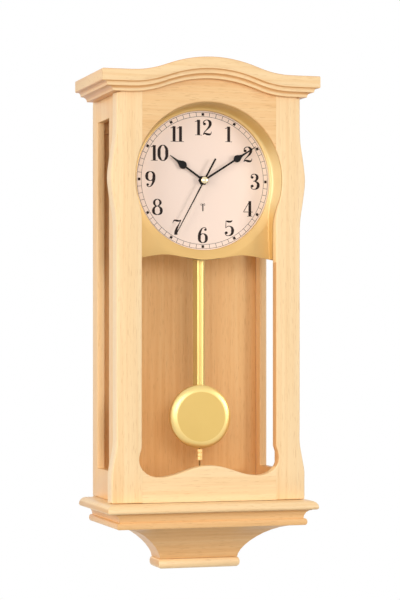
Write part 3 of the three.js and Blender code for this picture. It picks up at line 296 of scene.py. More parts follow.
def merged_copy(node):
    shape = bmesh.new()
    shape.from_mesh(frame["nodes"][node].data)
    bmesh.ops.remove_doubles(shape, verts=shape.verts, dist=WELD)
    bmesh.ops.dissolve_limit(shape, angle_limit=FLAT, verts=shape.verts, edges=shape.edges)
    return shape


def round_edges(shape, edges, radius, segments=3):
    bmesh.ops.bevel(shape, geom=edges, offset=radius, offset_type="OFFSET", affect="EDGES",
                    segments=segments, profile=0.5, material=-1, clamp_overlap=True)


def soften(node, material, radius, kept_crisp=None, reshape=None):
    """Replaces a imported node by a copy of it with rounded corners."""
    shape = merged_copy(node)
    if reshape:
        reshape(shape)
    corners = [edge for edge in shape.edges if edge.calc_face_angle(0) > CORNER]
    if kept_crisp:
        corners = [edge for edge in corners if not kept_crisp(edge)]
    round_edges(shape, corners, radius)
    return finish_piece(node + "_softened", shape, material, body_of_node[node], [node])

# %% [markdown]
# The case is a pale, close-grained wood under satin lacquer. Seen close, it has long soft streaks, finer
# threads inside them, and short dark dashes where pores are cut open.
# All three are one noise texture, stretched along the grain by different amounts. Stiles and sides have
# upright grain and rails have level grain, so the stretch axis is chosen piece by piece, as a joiner would.
# Where a board is cut across, its end grain drinks more lacquer, so a face that looks along the grain is
# darkened. The surface's own normal tells which faces do. It also places painted light and shade: the crown's
# hollows are painted deeper, a painted shade, and the stiles' flanks get a painted highlight outside the case
# and a browner painted shade in the lower opening. Some upright boards are painted a little darker toward the
# foot, a painted shade.

# %% Wood
PLATE_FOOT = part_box("bezel_plate")[0].z
PANEL_MIDDLE = (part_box("side_panel_right")[0].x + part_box("side_panel_right")[1].x) / 2
RING_CENTRE = (0.21, 0.34, 0.27)
FOOT_SHADE_HEIGHTS = (-0.22, -0.5)
FOOT_SHADE_SHARE = 0.4
PORE_EDGE = (0.6, 0.72)
PORE_SHARE = 0.4
END_FACING = (0.6, 0.95)
HOLLOW_SHADE_FACING = (0.0, 0.3)
HOLLOW_SHADE_SHARE = 0.85
FLANK_FACING = (0.3, 0.8)


def wood(name, grain, pale, middle, dark, pore, shift=0.0, roughness=0.42, foot=None, hollow_shade=None, ends=0.7,
         flanks=None):
    """A wood of three tones and a pore colour, with its grain along one axis."""
    material, graph, shader = new_material(name)
    facing = graph.node("ShaderNodeNewGeometry", output="Normal")

    def along(stretch, place=(shift, shift * 1.7, shift * 0.6)):
        """Coordinates that draw a texture out along the grain."""
        return graph.stretched([stretch if axis == grain else 1.0 for axis in "xyz"], place)

    def looks(axis):
        """1 where a face looks straight along an axis, either way, and 0 where it looks across."""
        share = graph.part(facing, axis)
        return share * share

    streaks = graph.noise(along(0.05), scale=38, detail=3, roughness=0.55)
    threads = graph.noise(along(0.02), scale=330, detail=3, roughness=0.6)
    dashes = graph.noise(along(0.07), scale=1150, detail=1, roughness=0.4)
    ring_place = (RING_CENTRE[0] + shift, RING_CENTRE[1], RING_CENTRE[2])
    rings = graph.node("ShaderNodeTexWave", {"wave_type": "RINGS", "rings_direction": grain.upper()},
                       {"Vector": along(0.05, ring_place), "Scale": 34, "Distortion": 5, "Detail": 2,
                        "Detail Scale": 1.4})
    tone = 0.44 * streaks + 0.48 * threads + 0.08 * rings
    tones = [(0.34, dark), (0.5, middle), (0.66, pale)]
    body = graph.node("ShaderNodeValToRGB", {"stops": tones}, {0: tone})
    # Painted shade: the colour goes darker toward the foot, for light that falls off downward.
    if foot:
        height = graph.part(graph.stretched(), "z")
        body = graph.mix(graph.ease(height, *FOOT_SHADE_HEIGHTS, FOOT_SHADE_SHARE), body, foot)
    # Painted shade: faces in the crown's hollows, which lean up or down, take a deeper colour.
    if hollow_shade:
        body = graph.mix(graph.ease(looks("z"), *HOLLOW_SHADE_FACING, HOLLOW_SHADE_SHARE), body, hollow_shade)
    # Painted highlight on flanks outside the case, and painted shade on flanks in the lower opening.
    if flanks:
        outer, inner = flanks
        flank = graph.ease(looks("x"), *FLANK_FACING)
        across = graph.part(graph.stretched(), "x")
        depth = graph.part(graph.stretched(), "z") * -1
        outside = across * across > PANEL_MIDDLE * PANEL_MIDDLE
        body = graph.mix(flank * outside, body, outer)
        body = graph.mix(flank * (1 - outside) * (depth > -PLATE_FOOT), body, inner)
    pores = graph.ease(dashes, *PORE_EDGE, PORE_SHARE)
    end_grain = graph.ease(looks(grain), *END_FACING, ends)
    fill(graph, shader, {
        "Base Color": graph.mix(end_grain, graph.mix(pores, body, pore), pore),
        "Roughness": roughness - 0.1 + 0.2 * threads,
        "Normal": graph.bump(threads * 0.5 - pores, 0.18, 0.0003),
        "Coat Weight": 0.12,
        "Coat Roughness": 0.3,
    })
    return material


CASE_COLORS = (color(252, 224, 180), color(250, 218, 170), color(244, 206, 154), color(220, 175, 121))
SIDE_COLORS = (color(251, 216, 166), color(248, 210, 157), color(242, 197, 140), color(216, 167, 110))
# The top rail's deeper tone is partly its own board and partly painted shade under the crown.
ARCH_TONE_AND_SHADE = (color(246, 209, 157), color(242, 200, 145), color(235, 188, 129), color(208, 158, 102))
# Painted shade: the base mouldings and console use a deeper, more orange copy of the case wood, for the shade
# below the base board.
SHADED_MOULDING_COLORS = (color(242, 199, 143), color(238, 190, 131), color(231, 178, 115), color(204, 149, 90))
VENEER_COLORS = (color(247, 207, 149), color(243, 198, 138), color(235, 185, 123), color(208, 156, 97))
# A painted highlight for the outer flanks and a painted shade for the flanks in the lower opening.
FLANK_LIGHT_AND_SHADE = (color(255, 226, 182), color(218, 172, 122))
# Painted shade for the crown's hollows.
HOLLOW_SHADE_COLOR = color(226, 165, 102)
upright_wood = wood("upright_wood", "z", *CASE_COLORS, flanks=FLANK_LIGHT_AND_SHADE)
level_wood = wood("level_wood", "x", *CASE_COLORS, shift=0.37, ends=0.95)
crown_wood = wood("crown_wood", "x", *CASE_COLORS, shift=0.48, hollow_shade=HOLLOW_SHADE_COLOR)
crown_return_wood = wood("crown_return_wood", "y", *SIDE_COLORS, shift=0.29, hollow_shade=HOLLOW_SHADE_COLOR)
arch_wood = wood("arch_wood", "x", *ARCH_TONE_AND_SHADE, shift=0.55, ends=0.1)
# The base mouldings and console are painted in the shaded copy, a painted shade.
shaded_moulding_wood = wood("shaded_moulding_wood", "x", *SHADED_MOULDING_COLORS, shift=0.63)
shaded_return_wood = wood("shaded_return_wood", "y", *SHADED_MOULDING_COLORS, shift=0.81)
# Side and back boards get a painted shade toward the foot.
side_wood = wood("side_wood", "z", *SIDE_COLORS, shift=1.43, foot=color(230, 175, 107))
back_wood = wood("back_wood", "z", *VENEER_COLORS, shift=2.2, roughness=0.5, foot=color(226, 177, 112))
inner_wood = wood("inner_wood", "x", *VENEER_COLORS, shift=2.9, roughness=0.55)
print("woods:", [item.name for item in bpy.data.materials if "wood" in item.name])

# %% [markdown]
# The frame is four boards, joined where the rails meet the stiles. Their free edges are eased by sandpaper
# to a radius of 1.6 mm, but an edge inside a joint is cut square, so it is left alone and shows as a line.

# %% Front frame
rail_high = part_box("frame_bottom_rail")[1]
arch_low, arch_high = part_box("frame_top_rail")
JOINT_X = rail_high.x
JOINT_FILL = 0.25 * MM
JOINT_WIDTH = 0.5 * MM
FRAME_EASE = 1.6 * MM
NEAR = 0.1 * MM


def in_frame_joint(edge):
    """True for an edge that lies where a rail butts against a stile."""
    on_plane = all(abs(abs(vert.co.x) - JOINT_X) < JOINT_WIDTH for vert in edge.verts)
    beside_rail = all(vert.co.z < rail_high.z or vert.co.z > arch_low.z - MM for vert in edge.verts)
    return on_plane and beside_rail


def fill_joint(shape):
    """Pushes the ends of a rail nearly up to the stiles, so that only a hairline shows."""
    for vert in shape.verts:
        if abs(abs(vert.co.x) - JOINT_X) < NEAR:
            vert.co.x += math.copysign(JOINT_FILL, vert.co.x)


for node in ("frame_stile_left", "frame_stile_right"):
    soften(node, upright_wood, FRAME_EASE, in_frame_joint)
soften("frame_top_rail", arch_wood, FRAME_EASE, in_frame_joint, fill_joint)
soften("frame_bottom_rail", level_wood, FRAME_EASE, in_frame_joint, fill_joint)
print("frame boards:", pieces_made)

# %% [markdown]
# Seen from the side, the frame looks thicker than its boards, because a thin lip stands behind its outer
# edges, over the case sides. It follows the outline of the stile, so it is cut from the stile's own points:
# they make one flat face, and pulling that face backward gives the strip its depth.

# %% Frame lip
LIP_DEPTH = 9.5 * MM
LIP_LAP = 4 * MM
LIP_INSET = 0.15 * MM
LIP_EASE = 1.2 * MM
PANEL_LAP = 0.5 * MM


def height_of(point):
    return point.z


def pull(shape, face, way):
    """Pulls a face out of its plane. The walls behind it close the shape."""
    grown = bmesh.ops.extrude_face_region(shape, geom=[face])["geom"]
    moved = [item for item in grown if isinstance(item, bmesh.types.BMVert)]
    bmesh.ops.translate(shape, vec=way, verts=moved)
    bmesh.ops.recalc_face_normals(shape, faces=shape.faces)


for name, side in (("left", -1), ("right", 1)):
    stile = merged_copy("frame_stile_" + name)
    stile_rear = max(vert.co.y for vert in stile.verts)
    panel_low, panel_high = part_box("side_panel_" + name)
    panel_face = max(side * panel_low.x, side * panel_high.x)
    edge_points = [vert.co.copy() for vert in stile.verts
                   if vert.co.y > stile_rear - NEAR and side * vert.co.x > panel_face + PANEL_LAP]
    edge_points.sort(key=height_of)
    stile.free()
    inside = side * (panel_face - PANEL_LAP)
    outline = [(point.x - side * LIP_INSET, point.z) for point in edge_points]
    outline += [(inside, edge_points[-1].z), (inside, edge_points[0].z)]
    strip = bmesh.new()
    front = strip.faces.new([strip.verts.new((x, stile_rear - LIP_LAP, z)) for x, z in outline])
    pull(strip, front, (0, LIP_LAP + LIP_DEPTH, 0))
    rear_edges = [edge for edge in strip.edges
                  if all(vert.co.y > stile_rear and side * vert.co.x > panel_face for vert in edge.verts)
                  and edge.calc_face_angle(0) > CORNER]
    round_edges(strip, rear_edges, LIP_EASE, 2)
    finish_piece("frame_lip_" + name, strip, upright_wood, "case")
print("frame lip:", len(edge_points), "points along the stile")

# %% [markdown]
# Crown, base and console are mouldings that run round three sides and meet in mitres at the corners.
# A mitre cut is slanting but upright, so it is found by its face normal, and its edges are left crisp.

# %% Mouldings and boards
SLANTING = 0.2
LEVEL = 0.02
MOULDING_EASE = 0.5 * MM
BOARD_EASE = 0.6 * MM
VENEER_EASE = 0.3 * MM


def in_mitre(edge):
    """True for an edge of a slanting upright face, which is where two mouldings meet."""
    normals = [face.normal for face in edge.link_faces]
    return any(abs(normal.x) > SLANTING and abs(normal.y) > SLANTING and abs(normal.z) < LEVEL
               for normal in normals)


soften("crown_front", crown_wood, MOULDING_EASE, in_mitre)
for node in ("crown_return_left", "crown_return_right"):
    soften(node, crown_return_wood, MOULDING_EASE, in_mitre)
for node in ("base_moulding_front", "console_front"):
    soften(node, shaded_moulding_wood, MOULDING_EASE, in_mitre)
for node in ("base_moulding_left", "base_moulding_right", "console_left", "console_right"):
    soften(node, shaded_return_wood, MOULDING_EASE, in_mitre)
for node in ("base_board", "console_foot", "top_board"):
    soften(node, level_wood, BOARD_EASE)
for node in ("side_panel_left", "side_panel_right"):
    soften(node, side_wood, BOARD_EASE)
soften("back_panel", back_wood, VENEER_EASE)
for node in ("hanging_rail", "bezel_batten_left", "bezel_batten_right"):
    soften(node, inner_wood, MOULDING_EASE)
print("wooden pieces:", len(pieces_made))

# %% [markdown]
# The plate round the dial is satin gilt, with a very fine grain rubbed into it. The pendulum is brass, the
# cap over the hands is paler, like champagne, and hidden fixings are plain steel. All are the same recipe:
# a metallic shader whose colour and roughness drift slightly, with fine lines that scatter the reflection.
# Gilt is also given painted light and shade by the way it leans. Beside the dial, faces that lean to the left
# get a paler painted highlight, and faces that lean down get a deeper gold painted shade everywhere. The surface's
# own normal tells both.

# %% Metals
EVEN = (1, 1, 1)
ALONG_PLATE = (0.03, 1, 1)
ALONG_ROD = (1, 1, 0.03)
HIGHLIGHT_FACING = (0.0, 0.9)
SHADE_FACING = (0.1, 0.7)
BESIDE_DIAL = (PLATE_FOOT + 45 * MM, PLATE_FOOT + 85 * MM)


def metal(name, base, tint, roughness, line_scale, line_stretch, bump_strength=0.05, metallic=1.0, coat=0.0,
          painted_light_and_shade=None):
    """A metal of two near colours, with fine lines of a given scale and stretch."""
    material, graph, shader = new_material(name)
    cloud = graph.noise(graph.stretched(), scale=26, detail=3)
    lines = graph.noise(graph.stretched(line_stretch), line_scale)
    body = graph.mix(cloud, base, tint)
    # Painted highlight on left-leaning gilt beside the dial, and painted shade on gilt that leans down.
    if painted_light_and_shade:
        painted_highlight_color, painted_shade_color = painted_light_and_shade
        facing = graph.node("ShaderNodeNewGeometry", output="Normal")
        lit = graph.ease(graph.part(facing, "x") * -1, *HIGHLIGHT_FACING)
        dim = graph.ease(graph.part(facing, "z") * -1, *SHADE_FACING)
        beside_dial = graph.ease(graph.part(graph.stretched(), "z"), *BESIDE_DIAL)
        body = graph.mix(dim, graph.mix(lit * beside_dial, body, painted_highlight_color), painted_shade_color)
    fill(graph, shader, {
        "Metallic": metallic,
        "Base Color": body,
        "Roughness": roughness - 0.06 + 0.12 * lines,
        "Normal": graph.bump(lines, bump_strength, 0.0001),
        "Coat Weight": coat,
        "Coat Roughness": 0.35,
    })
    return material


# The gilt's painted highlight and painted shade colours are given last.
gilt = metal("gilt", color(222, 183, 113), color(215, 173, 101), 0.42, 900, ALONG_PLATE,
             metallic=0.3, coat=0.6, painted_light_and_shade=(color(240, 220, 166), color(206, 168, 92)))
brass = metal("brass", color(222, 194, 120), color(216, 186, 110), 0.32, 700, ALONG_ROD,
              bump_strength=0.02, metallic=0.75)
polished = metal("polished", color(214, 188, 122), color(206, 177, 107), 0.38, 700, ALONG_ROD,
                 bump_strength=0.02, metallic=0.85)
champagne = metal("champagne", color(238, 226, 190), color(230, 214, 172), 0.22, 700, EVEN,
                  bump_strength=0.02, metallic=0.8)
pale_brass = metal("pale_brass", color(246, 210, 146), color(240, 200, 132), 0.3, 900, EVEN, metallic=0.55)
zinc = metal("zinc", color(200, 197, 186), color(178, 176, 166), 0.42, 140, EVEN)
print("metals:", [item.name for item in (gilt, brass, polished, champagne, pale_brass, zinc)])

# %% [markdown]
# Much of this clock is round, and a round piece is made as on a lathe: half of its section is drawn as a
# line of points, and the line is spun about the axis. Rounded stretches of the line come from one helper.

# %% Spinning an outline
def spun(outline, centre, steps=64, upright=False):
    """Spins (radius, place along the axis) points about the Y axis through centre, or the Z axis."""
    shape = bmesh.new()
    if upright:
        corners = [(centre.x + radius, centre.y, along) for radius, along in outline]
    else:
        corners = [(centre.x + radius, along, centre.z) for radius, along in outline]
    points = [shape.verts.new(corner) for corner in corners]
    edges = [shape.edges.new(pair) for pair in zip(points, points[1:])]
    bmesh.ops.spin(shape, geom=points + edges, cent=centre, axis=(0, 0, 1) if upright else (0, 1, 0),
                   angle=math.tau, steps=steps, use_merge=True)
    bmesh.ops.remove_doubles(shape, verts=shape.verts, dist=WELD / 2)
    bmesh.ops.recalc_face_normals(shape, faces=shape.faces)
    return shape


def arc(radius_from, y_from, radius_to, y_to, start, stop, steps):
    """Points of a curve that is level at 0 degrees and upright at 90, fitted between two points."""
    first = math.radians(start)
    last = math.radians(stop)
    points = []
    for index in range(steps + 1):
        angle = first + (last - first) * index / steps
        across = (math.sin(angle) - math.sin(first)) / (math.sin(last) - math.sin(first))
        along = (math.cos(first) - math.cos(angle)) / (math.cos(first) - math.cos(last))
        points.append((radius_from + (radius_to - radius_from) * across, y_from + (y_to - y_from) * along))
    return points

# %% [markdown]
# The plate is thin sheet. Round the dial it dips like the rim of a saucer, with a rolled lip at the hole.
# The sheet itself is a copy of the solid with its hole widened. The saucer is spun about the dial's axis.

# %% Gilt plate
SAUCER_RADIUS = 95.8 * MM
SAUCER_DIP = 1.8 * MM
DIP_CURVE = 1.3
DIP_STEPS = 12
ROLL_WIDTH = 0.8 * MM
ROLL_DEPTH = 1.0 * MM
ROLL_BACK = 1.6 * MM
SHEET = 1.2 * MM
SHEET_EASE = 0.3 * MM
HOLE_BAND = 3 * MM
SQUARE_CUT = math.radians(60)
plate_low, plate_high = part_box("bezel_plate")
plate = merged_copy("bezel_plate")


def from_dial_axis(point):
    return math.hypot(point.x - dial_centre.x, point.z - dial_centre.z)


hole_radius = min(from_dial_axis(vert.co) for vert in plate.verts)
roll_radius = hole_radius + ROLL_WIDTH
hole_verts = [vert for vert in plate.verts if from_dial_axis(vert.co) < hole_radius + HOLE_BAND]
widen = SAUCER_RADIUS / hole_radius
bmesh.ops.scale(plate, vec=(widen, 1, widen), space=Matrix.Translation(-dial_centre), verts=hole_verts)
rims = [edge for edge in plate.edges if edge.calc_face_angle(0) > SQUARE_CUT]
rims = [edge for edge in rims if from_dial_axis(edge.verts[0].co) > SAUCER_RADIUS + MM]
round_edges(plate, rims, SHEET_EASE, 2)
finish_piece("gilt_plate", plate, gilt, "case", ["bezel_plate"])


def sheet_y(radius):
    """Where the front of the sheet lies at a distance from the dial's axis."""
    share = (SAUCER_RADIUS - radius) / (SAUCER_RADIUS - roll_radius)
    return plate_low.y + SAUCER_DIP * min(max(share, 0), 1) ** DIP_CURVE


dip = []
for index in range(DIP_STEPS + 1):
    radius = SAUCER_RADIUS + (roll_radius - SAUCER_RADIUS) * index / DIP_STEPS
    dip.append((radius, sheet_y(radius)))
roll_y = plate_low.y + SAUCER_DIP
roll = arc(roll_radius, roll_y, hole_radius, roll_y + ROLL_DEPTH, 18, 90, 6)
behind = [(hole_radius, plate_high.y), (hole_radius + SHEET, plate_high.y),
          (hole_radius + SHEET, roll_y + ROLL_BACK), (SAUCER_RADIUS, plate_low.y + SHEET), dip[0]]
saucer = spun(dip + roll[1:] + behind, dial_centre, 144)
finish_piece("gilt_saucer", saucer, gilt, "case")
print("dial hole radius:", round(hole_radius / MM, 2), "mm")

# %% [markdown]
# Beside the dial the wooden wall is covered. The gilt turns forward there in a hollow curve, a cove, up to the
# front of the frame. The cove is a painted reflection: it stands in for the pale light that the gilt throws
# onto the wall. It follows the opening, so the opening is read from the frame's own boards: each rear
# edge of a wall that looks toward the dial is one span. Where two walls meet, their normals are added up.
# The sum points half way between them, so that the cove turns the corner without a gap.

# %% Edges of the opening
JOINT_GAP = 0.8 * MM
JOINT_REACH = 104 * MM
WALL_FACING = 0.1
COVE_FOOT = plate_low.z + 4 * MM
corner_places = []
corner_normals = []
spans = []


def corner_at(point, normal):
    """Index of the opening's corner at this point, which is a new one unless another wall ends there."""
    for index, place in enumerate(corner_places):
        if (place - point).length < JOINT_GAP:
            corner_normals[index] += normal
            return index
    corner_places.append(point)
    corner_normals.append(normal.copy())
    return len(corner_places) - 1


for node in ("frame_stile_left", "frame_stile_right", "frame_top_rail"):
    board = merged_copy(node)
    for face in board.faces:
        inward = (dial_centre - face.calc_center_median()).dot(face.normal)
        if abs(face.normal.y) > WALL_FACING or inward < 0:
            continue
        for edge in face.edges:
            low, high = sorted((vert.co.copy() for vert in edge.verts), key=height_of)
            if min(low.y, high.y) < arch_high.y - NEAR or high.z < COVE_FOOT:
                continue
            if low.z < COVE_FOOT:
                low = low.lerp(high, (COVE_FOOT - low.z) / (high.z - low.z))
            middle = (low + high) / 2
            if middle.z > dial_centre.z and from_dial_axis(middle) > JOINT_REACH:
                continue
            spans.append((corner_at(low, face.normal), corner_at(high, face.normal)))
    board.free()
print("opening:", len(corner_places), "corners and", len(spans), "spans")

# %% [markdown]
# Each corner of the opening gets a row of points on a quarter of an ellipse, from the front of the frame to
# the sheet, and the rows of a span are joined by faces. Below the dial the cove sinks to the rear of the
# frame and narrows, because there the flat plate simply meets the wall.

# %% Gilt cove
COVE_WIDEST = 9 * MM
COVE_NARROWEST = 1 * MM
COVE_SINKS = (15 * MM, 62 * MM)
COVE_STEPS = 8
COVE_START = 0.35 * MM
COVE_SHEET = 0.3 * MM
HOLE_MARGIN = 2.5 * MM
cove_front = arch_low.y + 1.8 * MM
cove_rear = arch_high.y - 1.0 * MM


def sunk_at(z):
    """0 beside the dial and 1 near the plate's foot, with a soft change between."""
    share = (dial_centre.z - z - COVE_SINKS[0]) / (COVE_SINKS[1] - COVE_SINKS[0])
    share = min(max(share, 0), 1)
    return share * share * (3 - 2 * share)


cove = bmesh.new()
rows = []
for place, normal in zip(corner_places, corner_normals):
    normal.normalize()
    sunk = sunk_at(place.z)
    width = min(COVE_WIDEST, from_dial_axis(place) - hole_radius - HOLE_MARGIN)
    width = width + (COVE_NARROWEST - width) * sunk
    edge_y = cove_front + (cove_rear - cove_front) * sunk
    depth = sheet_y(from_dial_axis(place + normal * width)) - edge_y
    row = []
    for step in range(COVE_STEPS + 1):
        angle = math.pi / 2 * step / COVE_STEPS
        point = place + normal * (COVE_START + width * (1 - math.cos(angle)))
        row.append(cove.verts.new((point.x, edge_y + depth * math.sin(angle), point.z)))
    rows.append(row)
for first, second in spans:
    if first == second:
        continue
    lower = rows[first]
    upper = rows[second]
    for step in range(COVE_STEPS):
        cove.faces.new((lower[step], upper[step], upper[step + 1], lower[step + 1]))
bmesh.ops.recalc_face_normals(cove, faces=cove.faces)
bmesh.ops.solidify(cove, geom=cove.faces, thickness=COVE_SHEET)
# The gilt cove covers the wooden wall, a painted reflection of the gilt's light on it.
finish_piece("gilt_cove", cove, gilt, "case")
print("cove rows:", len(rows))

# %% [markdown]
# The dial is coated card with everything printed on it in one dark ink: two circles with minute strokes
# between them, a square for each five minutes, and upright numerals with fat stems and hairlines.
# No typeface is loaded. Each numeral is a few pen strokes, and each point of a stroke carries half the
# width of the pen there. A curve with a round bevel draws such a stroke, and its mesh is then pressed flat.

# %% Numeral strokes
DIGIT_WIDTH = 0.55
PEN_WEIGHT = 1.05


def ball(x, y, radius):
    """A round blob, drawn as a small closed ring that its own width fills."""
    half = radius / 2
    return ("ring", [(x + half, y, half), (x, y + half, half), (x - half, y, half), (x, y - half, half)])


def straight(x0, y0, x1, y1, half_width):
    return ("line", [(x0, y0, half_width), (x1, y1, half_width)])


SIX = [
    ("ring", [(0.28, 0.58, 0.018), (0.44, 0.48, 0.065), (0.475, 0.3, 0.082), (0.43, 0.1, 0.06),
              (0.28, 0.018, 0.018), (0.12, 0.1, 0.06), (0.075, 0.3, 0.08), (0.12, 0.48, 0.05)]),
    ("curve", [(0.075, 0.3, 0.08), (0.09, 0.55, 0.078), (0.17, 0.8, 0.05), (0.32, 0.965, 0.02),
               (0.44, 0.93, 0.02), (0.47, 0.85, 0.02)]),
    ball(0.42, 0.83, 0.07),
]
NUMERALS = {
    "0": [("ring", [(0.28, 0.982, 0.018), (0.45, 0.83, 0.07), (0.495, 0.5, 0.088), (0.45, 0.17, 0.07),
                    (0.28, 0.018, 0.018), (0.11, 0.17, 0.07), (0.065, 0.5, 0.088), (0.11, 0.83, 0.07)])],
    "1": [straight(0.27, 0.03, 0.27, 0.97, 0.078), straight(0.08, 0.015, 0.46, 0.015, 0.016),
          ("curve", [(0.06, 0.845, 0.014), (0.15, 0.87, 0.02), (0.24, 0.96, 0.03)])],
    "2": [ball(0.13, 0.72, 0.085),
          ("curve", [(0.075, 0.7, 0.02), (0.09, 0.86, 0.03), (0.26, 0.975, 0.022), (0.43, 0.87, 0.075),
                     (0.455, 0.72, 0.08), (0.4, 0.55, 0.06), (0.26, 0.36, 0.03), (0.12, 0.19, 0.02),
                     (0.06, 0.06, 0.02)]),
          ("curve", [(0.05, 0.045, 0.02), (0.14, 0.115, 0.045), (0.28, 0.085, 0.07), (0.42, 0.075, 0.06),
                     (0.5, 0.14, 0.02), (0.515, 0.25, 0.014)])],
    "3": [ball(0.14, 0.77, 0.08), ball(0.14, 0.22, 0.085),
          ("curve", [(0.075, 0.8, 0.02), (0.12, 0.92, 0.025), (0.26, 0.98, 0.02), (0.4, 0.9, 0.06),
                     (0.43, 0.76, 0.078), (0.38, 0.61, 0.055), (0.25, 0.535, 0.018), (0.19, 0.53, 0.014)]),
          ("curve", [(0.22, 0.535, 0.016), (0.36, 0.5, 0.04), (0.475, 0.38, 0.07), (0.485, 0.24, 0.082),
                     (0.42, 0.09, 0.06), (0.26, 0.02, 0.02), (0.11, 0.07, 0.022), (0.07, 0.19, 0.02)])],
    "4": [straight(0.4, 0.03, 0.4, 0.98, 0.075), straight(0.385, 0.97, 0.045, 0.3, 0.018),
          straight(0.03, 0.285, 0.56, 0.285, 0.02), straight(0.24, 0.015, 0.55, 0.015, 0.015)],
    "5": [straight(0.12, 0.97, 0.1, 0.5, 0.018), ball(0.135, 0.2, 0.085),
          ("curve", [(0.11, 0.955, 0.02), (0.24, 0.915, 0.06), (0.38, 0.915, 0.06), (0.48, 0.985, 0.02)]),
          ("curve", [(0.1, 0.5, 0.016), (0.2, 0.6, 0.025), (0.3, 0.625, 0.02), (0.45, 0.53, 0.06),
                     (0.49, 0.34, 0.085), (0.44, 0.13, 0.065), (0.27, 0.02, 0.02), (0.12, 0.06, 0.022),
                     (0.065, 0.18, 0.02)])],
    "6": SIX,
    "7": [("curve", [(0.06, 0.74, 0.014), (0.085, 0.86, 0.02), (0.15, 0.93, 0.05), (0.3, 0.91, 0.06),
                     (0.42, 0.905, 0.045), (0.52, 0.965, 0.02)]),
          ("curve", [(0.515, 0.96, 0.018), (0.4, 0.7, 0.03), (0.29, 0.45, 0.055), (0.235, 0.22, 0.08),
                     (0.225, 0.03, 0.085)])],
    "8": [("ring", [(0.27, 0.98, 0.018), (0.4, 0.9, 0.05), (0.44, 0.77, 0.068), (0.39, 0.63, 0.045),
                    (0.26, 0.545, 0.018), (0.13, 0.63, 0.05), (0.095, 0.77, 0.068), (0.14, 0.9, 0.05)]),
          ("ring", [(0.27, 0.545, 0.018), (0.44, 0.44, 0.06), (0.49, 0.27, 0.082), (0.44, 0.09, 0.06),
                    (0.27, 0.018, 0.018), (0.1, 0.09, 0.06), (0.055, 0.27, 0.08), (0.1, 0.44, 0.055)])],
    "9": [(kind, [(DIGIT_WIDTH - x, 1 - y, half) for x, y, half in points]) for kind, points in SIX],
}


def stroke_shape(strokes):
    """A bmesh of pen strokes in the XY plane, pressed to a thin layer."""
    curve = bpy.data.curves.new("strokes", "CURVE")
    curve.dimensions = "3D"
    curve.twist_mode = "Z_UP"
    curve.bevel_depth = 1.0
    curve.bevel_resolution = 1
    curve.use_fill_caps = True
    curve.resolution_u = 6
    for kind, points in strokes:
        is_line = kind == "line"
        spline = curve.splines.new("POLY" if is_line else "BEZIER")
        spline.use_cyclic_u = kind == "ring"
        knots = spline.points if is_line else spline.bezier_points
        knots.add(len(points) - 1)
        for knot, (x, y, half) in zip(knots, points):
            knot.co = (x, y, 0, 1) if is_line else (x, y, 0)
            knot.radius = half * PEN_WEIGHT
            if not is_line:
                knot.handle_left_type = "AUTO"
                knot.handle_right_type = "AUTO"
    holder = bpy.data.objects.new("strokes", curve)
    bpy.context.scene.collection.objects.link(holder)
    bpy.context.view_layer.update()
    mesh = bpy.data.meshes.new_from_object(holder.evaluated_get(bpy.context.evaluated_depsgraph_get()))
    shape = bmesh.new()
    shape.from_mesh(mesh)
    bpy.data.objects.remove(holder)
    bpy.data.curves.remove(curve)
    bpy.data.meshes.remove(mesh)
    return shape


print("digits drawn:", "".join(NUMERALS))

# %% [markdown]
# The dial's own finish is a warm white with a faint tooth, and the ink is a soft brown black.
# Ink lies on the card, so each printed shape stands a few hundredths of a millimetre proud of it.

# %% Printed dial
def coated(name, base, tint, roughness, grain_scale, bump_strength, shine=0.5):
    """Card, ink, enamel or plastic: two near colours in soft clouds, over a fine grain."""
    material, graph, shader = new_material(name)
    speckle = graph.noise(graph.stretched(), grain_scale)
    cloud = graph.noise(graph.stretched(shift=(0.4, 0.1, 0.7)), scale=18)
    fill(graph, shader, {
        "Base Color": graph.mix(cloud, base, tint),
        "Roughness": roughness - 0.05 + 0.1 * speckle,
        "Specular IOR Level": shine,
        "Normal": graph.bump(speckle, bump_strength, 0.0001),
    })
    return material


dial_card = coated("dial_card", color(253, 233, 223), color(250, 229, 218), 0.55, 1600, 0.08)
ink = coated("ink", color(46, 34, 32), color(36, 27, 26), 0.6, 1400, 0.05, 0.15)

NUMERAL_HEIGHT = 19.4 * MM
NUMERAL_WIDER = 1.17
NUMERAL_RING = {1: 66.5 * MM, 2: 64.8 * MM}
DIGIT_STEP = {"default": 0.47, "11": 0.36}
INK_HEIGHT = 0.05 * MM
INK_PRESS = INK_HEIGHT / 0.09
dial_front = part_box("dial_disc")[0].y
UPRIGHT = Matrix.Rotation(math.pi / 2, 4, "X")
on_dial = Matrix.Translation((dial_centre.x, dial_front, dial_centre.z)) @ UPRIGHT


def lay_on_dial(shape):
    """Turns a flat drawing, x to the right and y up, to lie on the dial."""
    bmesh.ops.transform(shape, matrix=on_dial, verts=shape.verts)


numerals = bmesh.new()
for hour in range(1, 13):
    digits = str(hour)
    step = DIGIT_STEP.get(digits, DIGIT_STEP["default"])
    strokes = []
    for index, digit in enumerate(digits):
        for kind, points in NUMERALS[digit]:
            strokes.append((kind, [(x + index * step, y, half) for x, y, half in points]))
    drawing = stroke_shape(strokes)
    middle = (step * (len(digits) - 1) + DIGIT_WIDTH) / 2
    angle = math.radians(30 * hour)
    ring = NUMERAL_RING[len(digits)]
    place = Matrix.Translation((ring * math.sin(angle), ring * math.cos(angle), 0))
    size = Matrix.Diagonal((NUMERAL_HEIGHT * NUMERAL_WIDER, NUMERAL_HEIGHT, INK_PRESS, 1))
    to_middle = Matrix.Translation((-middle, -0.5, 0))
    bmesh.ops.transform(drawing, matrix=place @ size @ to_middle, verts=drawing.verts)
    flat = bpy.data.meshes.new("numeral")
    drawing.to_mesh(flat)
    drawing.free()
    numerals.from_mesh(flat)
    bpy.data.meshes.remove(flat)
lay_on_dial(numerals)
